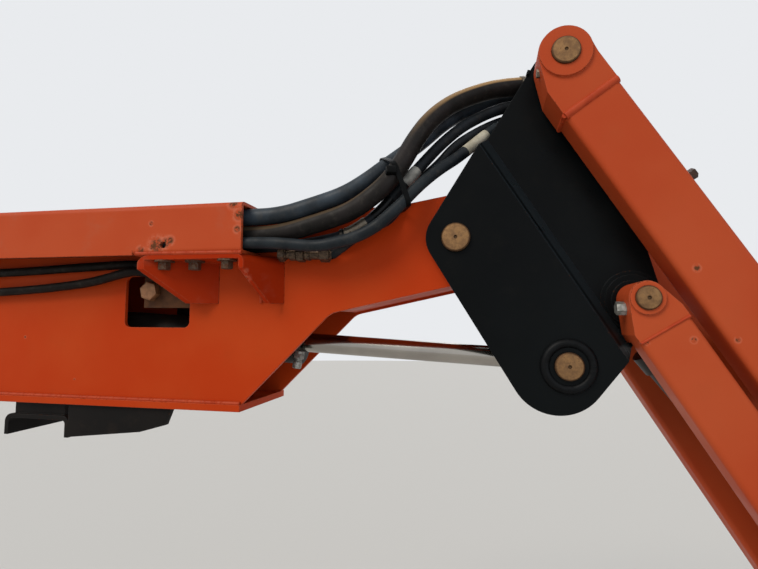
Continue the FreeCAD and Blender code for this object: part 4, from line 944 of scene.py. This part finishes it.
# %% Welds
BOTTOM_SEAM = -231.5
EAR_INSIDE = 67 / 117  # an ear's inner face, as a share of its outer face's Y
WELDS = [
    # name, path, bead radius, body, closed
    ("boom_bottom_weld_near", [(-798, -77, BOTTOM_SEAM), (-309, -77, BOTTOM_SEAM)], 3.4, "boom"),
    ("boom_bottom_weld_far", [(-798, 77, BOTTOM_SEAM), (-309, 77, BOTTOM_SEAM)], 3.4, "boom"),
    ("channel_lip", [(-446, -132.5, -18), (-434, -132.5, -18.5), (-284, -132.5, -19.5)], 3.0,
     "boom"),
    ("channel_weld", [(-770, -76.5, 50.5), (-287, -76.5, 50.5)], 2.6, "boom"),
    ("shelf_ear_weld", [(-280, -77, -30), (-280, -77, -86)], 2.8, "boom"),
    ("shelf_ear_weld_beside", [(-264, -76.4, -26), (-265, -76.4, -86)], 2.2, "boom"),
    ("cylinder_collar_weld", ring(CYLINDER_X, CYLINDER_Z, -88, 28.5), 6.5, "knuckle", True),
    ("cylinder_collar_weld_far", ring(CYLINDER_X, CYLINDER_Z, 88, 28.5), 6.5, "knuckle", True),
]
for side, y in (("near", ARM_FACE), ("far", -ARM_FACE)):
    edge_y, inner = y * 0.979, y * EAR_INSIDE
    WELDS += [
        (f"arm_ear_weld_{side}",
         [on_jib(JIB_PIN, 69, -45, edge_y), on_jib(JIB_PIN, 65, 30, edge_y)], 5.5, "upper_arm"),
        (f"arm_ear_weld_under_{side}",
         [on_jib(JIB_PIN, 68, -45.5, y), on_jib(JIB_PIN, 68, -45.5, inner)], 3.2, "upper_arm"),
        (f"link_ear_weld_{side}",
         [on_jib(LINK_PIN, 41, -35.5, y), on_jib(LINK_PIN, 41, 27, y)], 1.8, "lower_link"),
    ]
for row in WELDS:
    weld(*row)
print("weld beads:", len(WELDS))

# %% [markdown]
# ## Cable tie
#
# The tie is a nylon strap pulled tight, so seen along the hoses it is the outline of a rubber band
# round them. Cutting the hoses with the tie's plane gives their sections, the convex hull of the
# sections gives the band's path, and the strap is that path with a width and a thickness.

# %% The strap's path round the hoses
TIE_CENTRE = place(-76, -95, 66)
TIE_DOWN = Vector((0.38, -0.10, -0.92)).normalized()
TIE_ALONG = Vector((0.80, 0.42, 0.40))
TIE_NORMAL = (TIE_ALONG - TIE_DOWN * TIE_ALONG.dot(TIE_DOWN)).normalized()
TIE_SIDE = TIE_NORMAL.cross(TIE_DOWN)
TIE_REACH = 80 * MM  # the plane meets the hoses again further off, where no strap goes
bundle = []
for name in BULKHEAD_HOSES:
    bm = bmesh.new()
    bm.from_mesh(bpy.data.objects[name + "_cover"].data)
    cut = bmesh.ops.bisect_plane(bm, geom=bm.verts[:] + bm.edges[:] + bm.faces[:],
                                 plane_co=TIE_CENTRE, plane_no=TIE_NORMAL)
    for v in (g for g in cut["geom_cut"] if isinstance(g, bmesh.types.BMVert)):
        offset = v.co - TIE_CENTRE
        if offset.length < TIE_REACH:
            bundle.append(Vector((offset.dot(TIE_SIDE), offset.dot(TIE_DOWN))))
    bm.free()
hull = [bundle[i] for i in convex_hull_2d(bundle)]
band = [TIE_CENTRE + TIE_SIDE * p.x + TIE_DOWN * p.y for p in hull]
print("strap corners:", len(band))

# %% Strap and head
HALF_WIDTH, STRAP_INSIDE, STRAP_OUTSIDE = 3.4, 0.2, 1.8
STRAP_SECTION = ((-HALF_WIDTH, STRAP_INSIDE), (HALF_WIDTH, STRAP_INSIDE),
                 (HALF_WIDTH, STRAP_OUTSIDE), (-HALF_WIDTH, STRAP_OUTSIDE))
middle = sum(band, Vector()) / len(band)
bm = bmesh.new()
rows = []
for p in band:
    out = (p - middle).normalized()
    rows.append([bm.verts.new(p + out * lift * MM + TIE_NORMAL * across * MM)
                 for across, lift in STRAP_SECTION])
for row, after in zip(rows, rows[1:] + rows[:1]):
    for k in range(4):
        bm.faces.new((row[k], after[k], after[(k + 1) % 4], row[(k + 1) % 4]))
strap = finish_piece("tie_strap", bm, nylon, "boom")
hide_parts("cable_tie")

bm = bmesh.new()
block(bm, facing(place(-83, -114, 87), (0.30, -0.85, 0.42)), (14, 12, 10), 2.0)
finish_piece("tie_head", bm, nylon, "boom")
print("strap and head placed")

# %% [markdown]
# ## Floor and light
#
# A plain studio: a pale floor under the piece, a pale world round it, and three lamps of the sun
# kind, which shine evenly over the whole piece, so no end of it is brighter. Each is as wide as a
# big soft box. The key light stands high on the camera's left, so top edges catch it and the
# undersides fall into shade.

# %% Floor and world
FLOOR_Z = -1.16
bm = bmesh.new()
bmesh.ops.create_circle(bm, cap_ends=True, radius=14, segments=64,
                        matrix=Matrix.Translation((0.8, 0, FLOOR_Z)))
mesh = bpy.data.meshes.new("floor")
bm.to_mesh(mesh)
bm.free()
floor_material, _, shader, _ = start_material("matt_backdrop_paint")
shader.inputs["Base Color"].default_value = linear("#CFCDC9")
shader.inputs["Roughness"].default_value = 0.9
mesh.materials.append(floor_material)
floor = bpy.data.objects.new("floor", mesh)
bpy.context.scene.collection.objects.link(floor)

world = bpy.data.worlds.new("studio")
bpy.context.scene.world = world
world.use_nodes = True
tree = world.node_tree
tree.nodes.clear()
# Rays from the camera, from a mirror and through glass see the pale world; the rest, which
# light the piece, get a dimmer and bluer one.
seen = add(tree, "ShaderNodeBackground", inputs={"Color": linear("#E9EBEE"), "Strength": 1.0})
sheds = add(tree, "ShaderNodeBackground", inputs={"Color": linear("#DDE6F0"), "Strength": 0.42})
path = add(tree, "ShaderNodeLightPath")
backdrop_rays = path.outputs["Is Camera Ray"]
for kind in ("Is Glossy Ray", "Is Transmission Ray"):
    backdrop_rays = math_node(tree, "MAXIMUM", backdrop_rays, path.outputs[kind])
both = add(tree, "ShaderNodeMixShader",
           inputs={0: backdrop_rays, 1: sheds.outputs[0], 2: seen.outputs[0]})
add(tree, "ShaderNodeOutputWorld", inputs={"Surface": both.outputs[0]})
print("floor at", FLOOR_Z, "m")

# %% Lamps
LAMPS = [
    # name, direction that it stands in, strength, width in degrees, colour
    ("key", (-1500, -2100, 2300), 1.9, 32, "#FFF6EA"),
    ("fill", (1700, -2300, 500), 0.45, 60, "#EAF1FF"),
    ("rim", (600, 2300, 2100), 0.8, 40, "#FFFFFF"),
]
for name, at, strength, width, colour in LAMPS:
    lamp_data = bpy.data.lights.new(name, "SUN")
    lamp_data.energy = strength
    lamp_data.angle = math.radians(width)
    lamp_data.color = linear(colour)[:3]
    lamp = bpy.data.objects.new(name, lamp_data)
    lamp.matrix_world = facing(place(*at), at)
    bpy.context.scene.collection.objects.link(lamp)
bpy.context.scene.view_settings.view_transform = "Standard"
print("lamps:", len(LAMPS))
